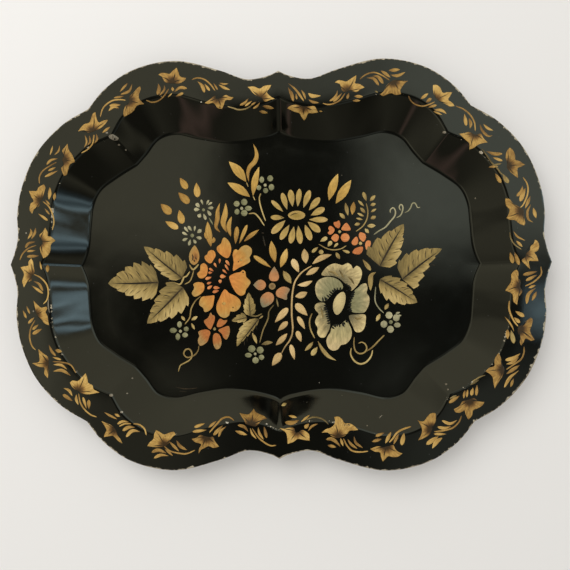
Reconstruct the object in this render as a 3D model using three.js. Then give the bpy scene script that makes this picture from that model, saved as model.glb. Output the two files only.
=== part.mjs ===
// Painted metal serving tray, standing on its floor: one pressed sheet with a wide scalloped
// flange, and the larger brush-laid paint films of the bouquet in its middle.
// Millimetres, +Z up, origin at the middle of the floor's underside, +X along the long side.
import * as THREE from 'three';

// Driving dimensions
const SHEET = 0.8; // steel thickness
const DEPTH = 32; // floor to flange, upper face to upper face
const BEND_RUN = 3.5; // how far each bend reaches on either side of its corner line
const FILM = 0.15; // paint film thickness
const FILM_GAP = 0.02; // air left between a film and the sheet
const STEPS = 18; // samples along each eighth of a ring
const BLOB_STEPS = 3; // samples between two points of a rounded outline
const DAB_STEPS = 9; // samples along one side of a brush dab
const TOOTH = [0.0, 0.3, 0.7, 0.96]; // where one leaf tooth is sampled
const BASE_FADE = 0.3; // share of a leaf's length over which its teeth fade in

// The tray is mirrored about X and Y, so each ring is given by one quarter: the long side from
// its middle cusp to the corner, then the short side from the corner to its middle cusp.
const RIM = {
  long: [[0, 219.2], [10, 214.4], [35, 209.8], [67, 220.4], [118, 232], [167, 221.8],
    [199.5, 199.5], [217.5, 177.5]],
  short: [[217.5, 177.5], [246.5, 160.1], [275.8, 128.6], [293, 89.6], [298.4, 57],
    [297.4, 31], [300.8, 14], [305.5, 0]],
};
const FLANGE_BEND = {
  long: [[0, 187.5], [13, 181.5], [45, 176.5], [82, 182.8], [118, 192], [152, 186.5],
    [176, 169], [189.5, 146.5]],
  short: [[189.5, 146.5], [217, 133], [243, 105], [256, 74], [258.7, 45], [261.5, 20],
    [264.5, 9], [269, 0]],
};
const FLOOR_BEND = {
  long: [[0, 160], [14, 154], [55, 147.5], [95, 152.5], [125, 158.5], [146, 151.5],
    [160, 134], [171, 121.5]],
  short: [[171, 121.5], [196.5, 105.5], [215, 91], [223.5, 73], [226.5, 48], [228.6, 24],
    [231.5, 13], [237, 0]],
};

const COLOURS = {
  lacquer: { color: 0x0e0e0c, roughness: 0.16, metalness: 0.0 },
  gold: { color: 0xcda046, roughness: 0.42, metalness: 0.35 },
  orange: { color: 0xe0913c, roughness: 0.45, metalness: 0.0 },
  rose: { color: 0xcf8a5c, roughness: 0.45, metalness: 0.0 },
  olive: { color: 0x9c8850, roughness: 0.45, metalness: 0.1 },
  stone: { color: 0x9fa07a, roughness: 0.5, metalness: 0.0 },
  cream: { color: 0xe0c48c, roughness: 0.48, metalness: 0.0 },
};

function material(colour) {
  return new THREE.MeshStandardMaterial(COLOURS[colour]);
}

// ---- The pressing -------------------------------------------------------------------------

function smooth(points, closed, steps) {
  const knots = points.map(([x, y]) => new THREE.Vector3(x, y, 0));
  const curve = new THREE.CatmullRomCurve3(knots, closed, 'centripetal');
  return steps ? curve.getSpacedPoints(steps) : curve.getPoints(knots.length * BLOB_STEPS);
}

// A closed ring, anticlockwise from the middle of the far long side.
function ring({ long, short }) {
  const quarter = [...smooth(long, false, STEPS), ...smooth(short, false, STEPS).slice(1)];
  const lower = quarter.map(({ x, y }) => new THREE.Vector3(x, -y, 0)).reverse();
  const right = [...quarter, ...lower.slice(1)];
  const left = right.map(({ x, y }) => new THREE.Vector3(-x, y, 0)).reverse();
  return [...right, ...left.slice(1, -1)].reverse();
}

// The upper face at one place round the tray, as stations from the rim in to the flat floor.
function section(rim, bend, foot) {
  const top = SHEET + DEPTH;
  const corner = new THREE.Vector3(bend.x, bend.y, top);
  const heel = new THREE.Vector3(foot.x, foot.y, SHEET);
  const outward = rim.clone().sub(bend).setLength(BEND_RUN);
  const down = heel.clone().sub(corner).setLength(BEND_RUN);
  const inward = foot.clone().sub(bend).setLength(BEND_RUN);
  const rounded = (from, middle, to) => from.clone().add(to).addScaledVector(middle, 2)
    .multiplyScalar(0.25);
  const flangeEnd = corner.clone().add(outward);
  const wallTop = corner.clone().add(down);
  const wallFoot = heel.clone().sub(down);
  const floorEnd = heel.clone().add(inward);
  return [
    new THREE.Vector3(rim.x, rim.y, top), flangeEnd, rounded(flangeEnd, corner, wallTop), wallTop,
    wallFoot, rounded(wallFoot, heel, floorEnd), floorEnd,
  ];
}

function trayPressing() {
  const rim = ring(RIM);
  const bend = ring(FLANGE_BEND);
  const foot = ring(FLOOR_BEND);
  const around = rim.length;
  const sections = rim.map((point, i) => section(point, bend[i], foot[i]));
  const stations = sections[0].length;
  const at = (i, k) => sections[(i + around) % around][k];
  const flat = (k) => k < 2 || k === stations - 1;

  // The under face lies one sheet thickness below the upper face, along its normal.
  const under = sections.map((stack, i) => stack.map((point, k) => {
    const normal = new THREE.Vector3(0, 0, 1);
    if (!flat(k)) {
      const along = at(i + 1, k).clone().sub(at(i - 1, k));
      const inward = at(i, k + 1).clone().sub(at(i, k - 1));
      normal.crossVectors(along, inward).normalize();
    }
    return point.clone().addScaledVector(normal, -SHEET);
  }));

  const positions = [...sections.flat(), ...under.flat()].flatMap((p) => [p.x, p.y, p.z]);
  const upper = (i, k) => (i % around) * stations + k;
  const lower = (i, k) => around * stations + upper(i, k);
  const faces = [];
  for (let i = 0; i < around; i += 1) {
    for (let k = 0; k < stations - 1; k += 1) {
      faces.push(upper(i, k), upper(i + 1, k), upper(i + 1, k + 1));
      faces.push(upper(i, k), upper(i + 1, k + 1), upper(i, k + 1));
      faces.push(lower(i, k), lower(i + 1, k + 1), lower(i + 1, k));
      faces.push(lower(i, k), lower(i, k + 1), lower(i + 1, k + 1));
    }
    faces.push(lower(i, 0), lower(i + 1, 0), upper(i + 1, 0));
    faces.push(lower(i, 0), upper(i + 1, 0), upper(i, 0));
  }
  const last = stations - 1;
  const floor = sections.map((stack) => new THREE.Vector2(stack[last].x, stack[last].y));
  for (const [a, b, c] of THREE.ShapeUtils.triangulateShape(floor, [])) {
    faces.push(upper(a, last), upper(b, last), upper(c, last));
    faces.push(lower(a, last), lower(c, last), lower(b, last));
  }
  const geometry = new THREE.BufferGeometry();
  geometry.setAttribute('position', new THREE.Float32BufferAttribute(positions, 3));
  geometry.setIndex(faces);
  geometry.computeVertexNormals();
  return geometry;
}

// ---- Outlines of the paint films ----------------------------------------------------------

// A rounded shape through a few points.
function blob(points) {
  return smooth(points, true).slice(0, -1);
}

// One brush dab from `from` to `to`, widest at `peak` of its length. An end's power sets its
// form: 1 draws it to a point, 0.5 rounds it. `bow` bends the dab to its left.
function dab(from, to, width, { peak = 0.62, start = 1, end = 0.5, bow = 0 } = {}) {
  const a = new THREE.Vector3(...from, 0);
  const along = new THREE.Vector3(...to, 0).sub(a);
  const side = new THREE.Vector3(-along.y, along.x, 0).normalize();
  const half = (s) => 0.5 * width * (s < peak
    ? Math.sin((0.5 * Math.PI * s) / peak) ** start
    : Math.cos((0.5 * Math.PI * (s - peak)) / (1 - peak)) ** end);
  const edge = (s, sign) => a.clone().addScaledVector(along, s)
    .addScaledVector(side, 4 * bow * s * (1 - s) + sign * half(s));
  const stops = Array.from({ length: DAB_STEPS - 1 },
    (_, i) => 0.5 - 0.5 * Math.cos((Math.PI * (i + 1)) / DAB_STEPS));
  return [a, ...stops.map((s) => edge(s, -1)), edge(1, 0), ...stops.reverse().map((s) => edge(s, 1))];
}

// A toothed leaf from its base to its tip. Each side has its own width and fullness, a lower
// fullness putting the widest place nearer the base. The teeth point towards the tip and fade
// out over the base.
function leaf(base, tip, left, right, { teeth = 5, depth = 0.24, bow = 0 } = {}) {
  const a = new THREE.Vector3(...base, 0);
  const along = new THREE.Vector3(...tip, 0).sub(a);
  const side = new THREE.Vector3(-along.y, along.x, 0).normalize();
  const stops = [];
  for (let tooth = 0; tooth < teeth; tooth += 1) {
    stops.push(...TOOTH.map((f) => ({ s: (tooth + f) / teeth, f })));
  }
  const edge = ({ s, f }, [width, fullness], sign) => {
    const envelope = Math.sin(Math.PI * s ** fullness) ** 0.8;
    const notch = depth * Math.min(1, s / BASE_FADE) * (1 - f ** 0.7);
    return a.clone().addScaledVector(along, s)
      .addScaledVector(side, 4 * bow * s * (1 - s) + sign * width * envelope * (1 - notch));
  };
  const inner = stops.slice(1);
  return [a, ...inner.map((stop) => edge(stop, right, -1)), a.clone().add(along),
    ...inner.reverse().map((stop) => edge(stop, left, 1))];
}

// ---- The bouquet ---------------------------------------------------------------------------

const POINTED = { peak: 0.48, end: 0.9 };
const ROUND = { peak: 0.5, start: 0.5 };

const leaves = {
  leaf_left_long: leaf([-144, -20], [-204, -21], [22, 0.55], [26, 0.66], { teeth: 6 }),
  leaf_left_upper: leaf([-116, -15], [-161.5, 22.5], [11, 0.62], [20, 0.52], { bow: 1.5 }),
  leaf_left_lower: leaf([-115, -26], [-157.5, -68.5], [21.5, 0.58], [18, 0.52]),
  leaf_right_upper: leaf([118, -2], [146.5, 47.5], [24, 0.44], [16, 0.56], { teeth: 4 }),
  leaf_right_long: leaf([144.5, -17.5], [191, 18], [17, 0.48], [21.5, 0.4], { bow: 6 }),
  leaf_right_lower: leaf([118, -17.5], [161.5, -45], [14, 0.78], [17.5, 0.8]),
  leaf_small_upper: leaf([-35, -60], [-37, -32.5], [8, 0.62], [7.5, 0.62], { teeth: 4 }),
  leaf_small_middle: leaf([-39, -62], [-57, -66], [5, 0.62], [7, 0.62], { teeth: 3, depth: 0.3 }),
  leaf_small_lower: leaf([-25, -63.5], [-51, -96], [8, 0.85], [7, 0.8], { bow: -4.5 }),
};

const orangePetals = [
  [[-65.5, 33], [-60, 28], [-57.5, 20], [-59, 12], [-62, 8.5], [-68, 11], [-74, 17],
    [-74.5, 21.5], [-69.5, 26], [-68, 31]],
  [[-81.5, 18], [-85, 16], [-86, 13], [-89, 11], [-88.8, 7.5], [-86, 4], [-82, 2.2],
    [-79, 6], [-76, 12], [-78, 17]],
  [[-90.5, 2.5], [-94, 0], [-94.5, -6], [-98, -10], [-96, -14.5], [-92, -15.5], [-87, -12],
    [-85.5, -4], [-87, 0.5]],
  [[-98, -20], [-102.7, -22.5], [-101.5, -27], [-104.5, -33], [-101.5, -37], [-96, -35.5],
    [-90, -29.5], [-90.5, -21.5]],
  [[-92.5, -37.5], [-87, -36.5], [-82, -36], [-77.8, -35.8], [-78, -41], [-80, -50],
    [-86, -55], [-89.5, -55], [-91, -50.5], [-95.5, -47], [-95, -41.5]],
  [[-65.3, -28.5], [-60, -33], [-52, -37], [-47, -42], [-46.5, -48], [-50.5, -53.5],
    [-55, -55], [-58.8, -54.8], [-60, -59], [-64.5, -62.3], [-70, -61], [-74.5, -55],
    [-75, -47], [-72, -40]],
  [[-59.8, -13.5], [-53, -9.5], [-46.5, -8], [-44, -5.8], [-41, -7.5], [-39.8, -14],
    [-34.6, -20], [-37, -25], [-40, -29], [-41.5, -34], [-46, -36.3], [-51, -33.5],
    [-56, -26], [-58.8, -19]],
  [[-55.3, -6.8], [-54.6, 4], [-55.8, 12], [-54, 18], [-51.6, 18.8], [-49.5, 17.6],
    [-45, 22], [-39, 23.5], [-33.8, 20], [-33, 14.5], [-35.8, 9], [-35, 4.5], [-41, 0.3],
    [-48.5, -3]],
];

const starPetals = [
  [[-82, -56], [-85, -62], [-90, -66], [-87.5, -71], [-82.5, -76], [-79.5, -71],
    [-77, -63], [-77.8, -59.5], [-80, -59]],
  [[-96.8, -79], [-92, -76.5], [-86, -76.3], [-82.5, -79], [-84, -85], [-86.5, -91],
    [-94.5, -95.3], [-97.3, -89], [-95.5, -83.5]],
  [[-76, -80.3], [-72, -82], [-69.2, -90], [-71, -97.5], [-75, -99.5], [-78, -96],
    [-79.5, -88], [-78.5, -82]],
  [[-73, -77], [-66.5, -73.5], [-61, -72], [-59.5, -75], [-60, -82], [-63.5, -88],
    [-66.5, -86], [-69, -81]],
  [[-71, -63.3], [-74, -68], [-74.6, -72.5], [-71, -73.2], [-64, -68.5], [-62.5, -65],
    [-66.5, -65.3]],
];

const daisyPetals = [
  [[5.5, 56], [-10.6, 56.6], 6], [[4.3, 63], [-9.6, 76.6], 5.4], [[9, 65.5], [3, 85.6], 6.8],
  [[15.5, 69], [12.8, 89.3], 7.8], [[21.5, 69], [23.8, 90.3], 6.6], [[28.3, 67.5], [36, 88.5], 7.4],
  [[34.8, 64.6], [47.6, 79.6], 7.6], [[37, 58.6], [53.4, 67], 8], [[35, 53.6], [57, 53.4], 6.8],
  [[33.3, 51], [48, 39], 8.2], [[30, 47.6], [37, 29], 7.8], [[22, 46.6], [24.6, 24.8], 7.6],
  [[17, 45.6], [12.8, 25.4], 7.6], [[11.6, 47.5], [0.8, 30], 7.2], [[7, 53], [-9.6, 37.4], 8.2],
];

const anemonePetals = {
  left_upper: ['stone', [[47, -17.5], [55, -14.6], [64, -15.5], [71, -19.5], [74.6, -26],
    [72.5, -29.8], [67.5, -29.5], [63, -33], [59, -38], [55, -42], [49, -43.2], [44.5, -39],
    [41.8, -30], [43, -22]]],
  crown: ['cream', [[49.3, -12], [52, -6.5], [58, -1], [65, 1.4], [70.5, 0.2], [74, -0.8],
    [80, 1.8], [84.5, -0.8], [86.5, -5], [90.5, -1.6], [94.5, -3.5], [97, -9], [95.5, -17],
    [91, -25], [84, -31], [83, -26], [77.5, -22.5], [71, -16.8], [63, -13.4], [55, -13.4]]],
  right_upper: ['stone', [[101.5, -22.4], [103.4, -28], [102.3, -33.5], [105.2, -38],
    [105.4, -45], [103, -51.5], [99.5, -56.4], [92, -57], [85, -55.8], [83.3, -49],
    [84, -42], [87, -36.5], [88, -31], [92.5, -27], [96.5, -23.3]]],
  right_lower: ['cream', [[100.5, -59.3], [101, -67], [99.3, -75], [95, -79.4], [89, -79.2],
    [85.4, -72], [82.2, -65], [81.5, -60.2], [91, -58.9]]],
  foot: ['stone', [[78, -65.6], [82, -71.5], [84.6, -79], [83.2, -87], [77.5, -93.4],
    [71.5, -95], [68, -99.8], [62, -101.3], [57, -98], [54.6, -90], [56.5, -84],
    [59.5, -79.5], [60.6, -74.5], [64, -71], [71, -71]]],
  left_lower: ['cream', [[41, -50.5], [42.5, -46.5], [48, -44.6], [53.5, -46], [54, -51],
    [55.8, -56], [57, -62], [59, -68], [58.6, -75], [55.8, -80.5], [52.6, -85.6],
    [47, -85.4], [43.8, -80.5], [44.5, -75], [41.3, -68], [43.6, -61.5], [45.8, -58],
    [42.4, -54]]],
};

const rosePetals = {
  top: dab([-6.5, -1.8], [-7, -19.4], 11.8, { peak: 0.72, end: 0.32 }),
  left: dab([-31.5, -23.6], [-16.4, -23.6], 12.8, { peak: 0.55 }),
  lower: blob([[-20.3, -50], [-23.3, -40.5], [-20, -35], [-13.5, -32], [-8, -35], [-7.2, -41],
    [-10.5, -46]]),
  right: blob([[8, -41.3], [8.6, -35], [11.7, -29], [6, -25.8], [0, -27], [-4.6, -32],
    [-3.6, -37], [1.5, -39.3]]),
};

const goldLeaves = {
  gold_leaf_far_left: dab([-35, 81], [-61.8, 98.3], 10, { ...POINTED, bow: -1 }),
  gold_leaf_far_middle: dab([-39.5, 99], [-60, 123.4], 11, { ...POINTED, bow: -1.2 }),
  gold_leaf_far_right: dab([-31.5, 82], [-24, 117], 8, { ...POINTED, bow: 1.5 }),
  gold_leaf_pair_left: dab([58.5, 76], [69.5, 108], 10, { ...POINTED, bow: 0.8 }),
  gold_leaf_pair_right: dab([66.6, 72.4], [85, 100.4], 10.5, POINTED),
};

// ---- Assembly ------------------------------------------------------------------------------

const tray = new THREE.Group();
tray.name = 'painted_tray';

function add(name, geometry, colour, height = 0) {
  const mesh = new THREE.Mesh(geometry, material(colour));
  mesh.name = name;
  mesh.position.z = height;
  tray.add(mesh);
}

function film(name, outline, colour) {
  const flat = outline.map(({ x, y }) => new THREE.Vector2(x, y));
  const geometry = new THREE.ExtrudeGeometry(new THREE.Shape(flat), {
    depth: FILM, bevelEnabled: false, curveSegments: 1,
  });
  add(name, geometry, colour, SHEET + FILM_GAP);
}

const numbered = (name, index) => `${name}_${String(index + 1).padStart(2, '0')}`;

add('tray_pressing', trayPressing(), 'lacquer');
for (const [name, outline] of Object.entries(leaves)) film(name, outline, 'olive');
film('bud', dab([-101, 23.8], [-102, 0.5], 12.6, { peak: 0.6, start: 0.75 }), 'gold');
orangePetals.forEach((points, i) => film(numbered('orange_petal', i), blob(points), 'orange'));
starPetals.forEach((points, i) => film(numbered('star_petal', i), blob(points), 'orange'));
film('daisy_eye', dab([10, 58.8], [30.4, 58.8], 10.8, { ...ROUND, end: 0.45 }), 'gold');
daisyPetals.forEach((petal, i) => film(numbered('daisy_petal', i), dab(...petal), 'gold'));
film('anemone_eye', dab([66.5, -59.2], [75, -32.3], 13.4, { ...ROUND, bow: 1 }), 'cream');
for (const [name, [colour, points]] of Object.entries(anemonePetals)) {
  film(`anemone_petal_${name}`, blob(points), colour);
}
film('rose_eye', dab([-13, -25.2], [-5, -25.2], 8, ROUND), 'olive');
for (const [name, outline] of Object.entries(rosePetals)) {
  film(`rose_petal_${name}`, outline, 'rose');
}
for (const [name, outline] of Object.entries(goldLeaves)) film(name, outline, 'gold');

export default tray;
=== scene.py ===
import math
import random

import bpy
from mathutils import Matrix, Vector
from mathutils.bvhtree import BVHTree
from mathutils.geometry import delaunay_2d_cdt


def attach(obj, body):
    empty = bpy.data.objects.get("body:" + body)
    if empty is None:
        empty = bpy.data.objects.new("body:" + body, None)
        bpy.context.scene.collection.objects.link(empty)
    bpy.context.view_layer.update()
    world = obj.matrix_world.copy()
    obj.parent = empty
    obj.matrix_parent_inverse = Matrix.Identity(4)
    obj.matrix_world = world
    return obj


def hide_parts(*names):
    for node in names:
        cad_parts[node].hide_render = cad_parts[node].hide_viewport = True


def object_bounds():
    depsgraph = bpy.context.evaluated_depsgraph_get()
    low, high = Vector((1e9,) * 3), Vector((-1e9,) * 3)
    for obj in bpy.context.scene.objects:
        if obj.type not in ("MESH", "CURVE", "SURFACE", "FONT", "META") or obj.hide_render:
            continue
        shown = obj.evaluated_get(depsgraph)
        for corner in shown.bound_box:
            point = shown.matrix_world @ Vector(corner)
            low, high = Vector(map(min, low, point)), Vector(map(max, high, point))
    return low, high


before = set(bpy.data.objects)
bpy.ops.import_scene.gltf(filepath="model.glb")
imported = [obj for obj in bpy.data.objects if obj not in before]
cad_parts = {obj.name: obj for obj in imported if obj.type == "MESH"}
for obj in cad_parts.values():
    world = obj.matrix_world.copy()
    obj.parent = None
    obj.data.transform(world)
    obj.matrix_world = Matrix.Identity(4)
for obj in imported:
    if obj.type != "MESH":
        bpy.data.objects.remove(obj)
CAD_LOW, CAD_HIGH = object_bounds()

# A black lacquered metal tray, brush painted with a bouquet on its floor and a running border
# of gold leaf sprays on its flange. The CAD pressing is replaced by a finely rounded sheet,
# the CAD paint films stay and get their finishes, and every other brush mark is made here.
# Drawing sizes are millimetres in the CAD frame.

MM = 0.001
SHEET = 0.8  # steel thickness
PAINT_ROOM = 0.3  # room left over the flange for the paint on it
FLANGE = CAD_HIGH.z / MM - PAINT_ROOM  # height of the flange's upper face
BEND_RUN = 3.5  # reach of each bend on either side of its corner line
LIP = 0.25  # rounding of the sheet's cut edge
RING_STEPS = 54  # samples along each eighth of a ring
BEND_STEPS = 6
WALL_STEPS = 5
FLANGE_STEPS = 5
FLOOR_RINGS = 12
KNOCK = -0.05  # a knock barely stands over the lacquer
FILM_TOP = 0.17  # upper face of a CAD paint film over the floor
BRUSH_HEIGHT = 0.12  # how proud a brush mark stands in its middle
START_SHADE = -0.2  # how much thinner the paint is where a mark starts
LEAF_HEART = -0.8  # how much darker a border leaf is at its base
HEART_REACH = 9.0  # and how far from the base that lasts
FRINGE_STEP = 2.8  # from one tooth of a fringe to the next
SUNK = 0.05  # how far a mark's underside is sunk in what carries it
EYE = Vector((18.23, -39.58, 674.51))  # where the tray is looked at from
EYE_TURN = (-1.3428, -1.0307, 0.2556)  # the tray's turn about x, y and z as seen from there
STEP_ALONG = 1.3  # between two cross sections of a brush mark
LEAST_HALF = 0.05  # half width that a mark keeps at its points
FULL_HALF = 1.2  # half width from which a mark stands at its full height
EDGE_LIFT = 0.01  # how far a mark's edge is over what carries it
EDGE_ROUND = 0.45  # width of a patch's rounded edge
SATIN = 0.35  # specular level of the paint
PAINT_RELIEF = 0.0002  # metres of relief from the bristles
LACQUER_WAVE = 0.0011  # metres of slow waves in the lacquer
LACQUER_PEEL = 0.00006  # metres of fine unevenness on them
FLOOR_SIZE = 60  # metres of studio floor
FLOOR_DROP = -0.0004  # the studio floor is just under the tray
AMBIENT = 0.75  # strength of the even light
KEY_SIZE = 1.6  # metres across the soft light
KEY_POWER = 18
KEY_PLACE = (-0.9, 1.0, 1.6)
FRAME = 36  # lens and sensor, alike, so the view is as wide as it is far
random.seed(7)

# One quarter of each ring: the long side from its middle cusp, then the short side to its cusp.
RIM = (
    [(0, 219.2), (10, 214.4), (35, 209.8), (67, 220.4), (118, 232), (167, 221.8),
     (199.5, 199.5), (217.5, 177.5)],
    [(217.5, 177.5), (246.5, 160.1), (275.8, 128.6), (293, 89.6), (298.4, 57),
     (297.4, 31), (300.8, 14), (305.5, 0)],
)
FLANGE_BEND = (
    [(0, 187.5), (13, 181.5), (45, 176.5), (82, 182.8), (118, 192), (152, 186.5),
     (176, 169), (189.5, 146.5)],
    [(189.5, 146.5), (217, 133), (243, 105), (256, 74), (258.7, 45), (261.5, 20),
     (264.5, 9), (269, 0)],
)
FLOOR_BEND = (
    [(0, 160), (14, 154), (55, 147.5), (95, 152.5), (125, 158.5), (146, 151.5),
     (160, 134), (171, 121.5)],
    [(171, 121.5), (196.5, 105.5), (215, 91), (223.5, 73), (226.5, 48), (228.6, 24),
     (231.5, 13), (237, 0)],
)

# ---- The drawing -------------------------------------------------------------------------
# Each mark has its paint, its kind, its width and the points that it runs through. A row that
# starts with a point goes on from the row before it.
#   dab     pointed where it starts, full and round where it ends
#   sliver  pointed at both ends
#   line    an even thin stroke
#   blob    a rounded shape inside its points, and its width isn't used
#   oval    a round touch with the two half widths that it is given
#   fringe  teeth of that length on the left of the points, pointing away from them

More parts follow.
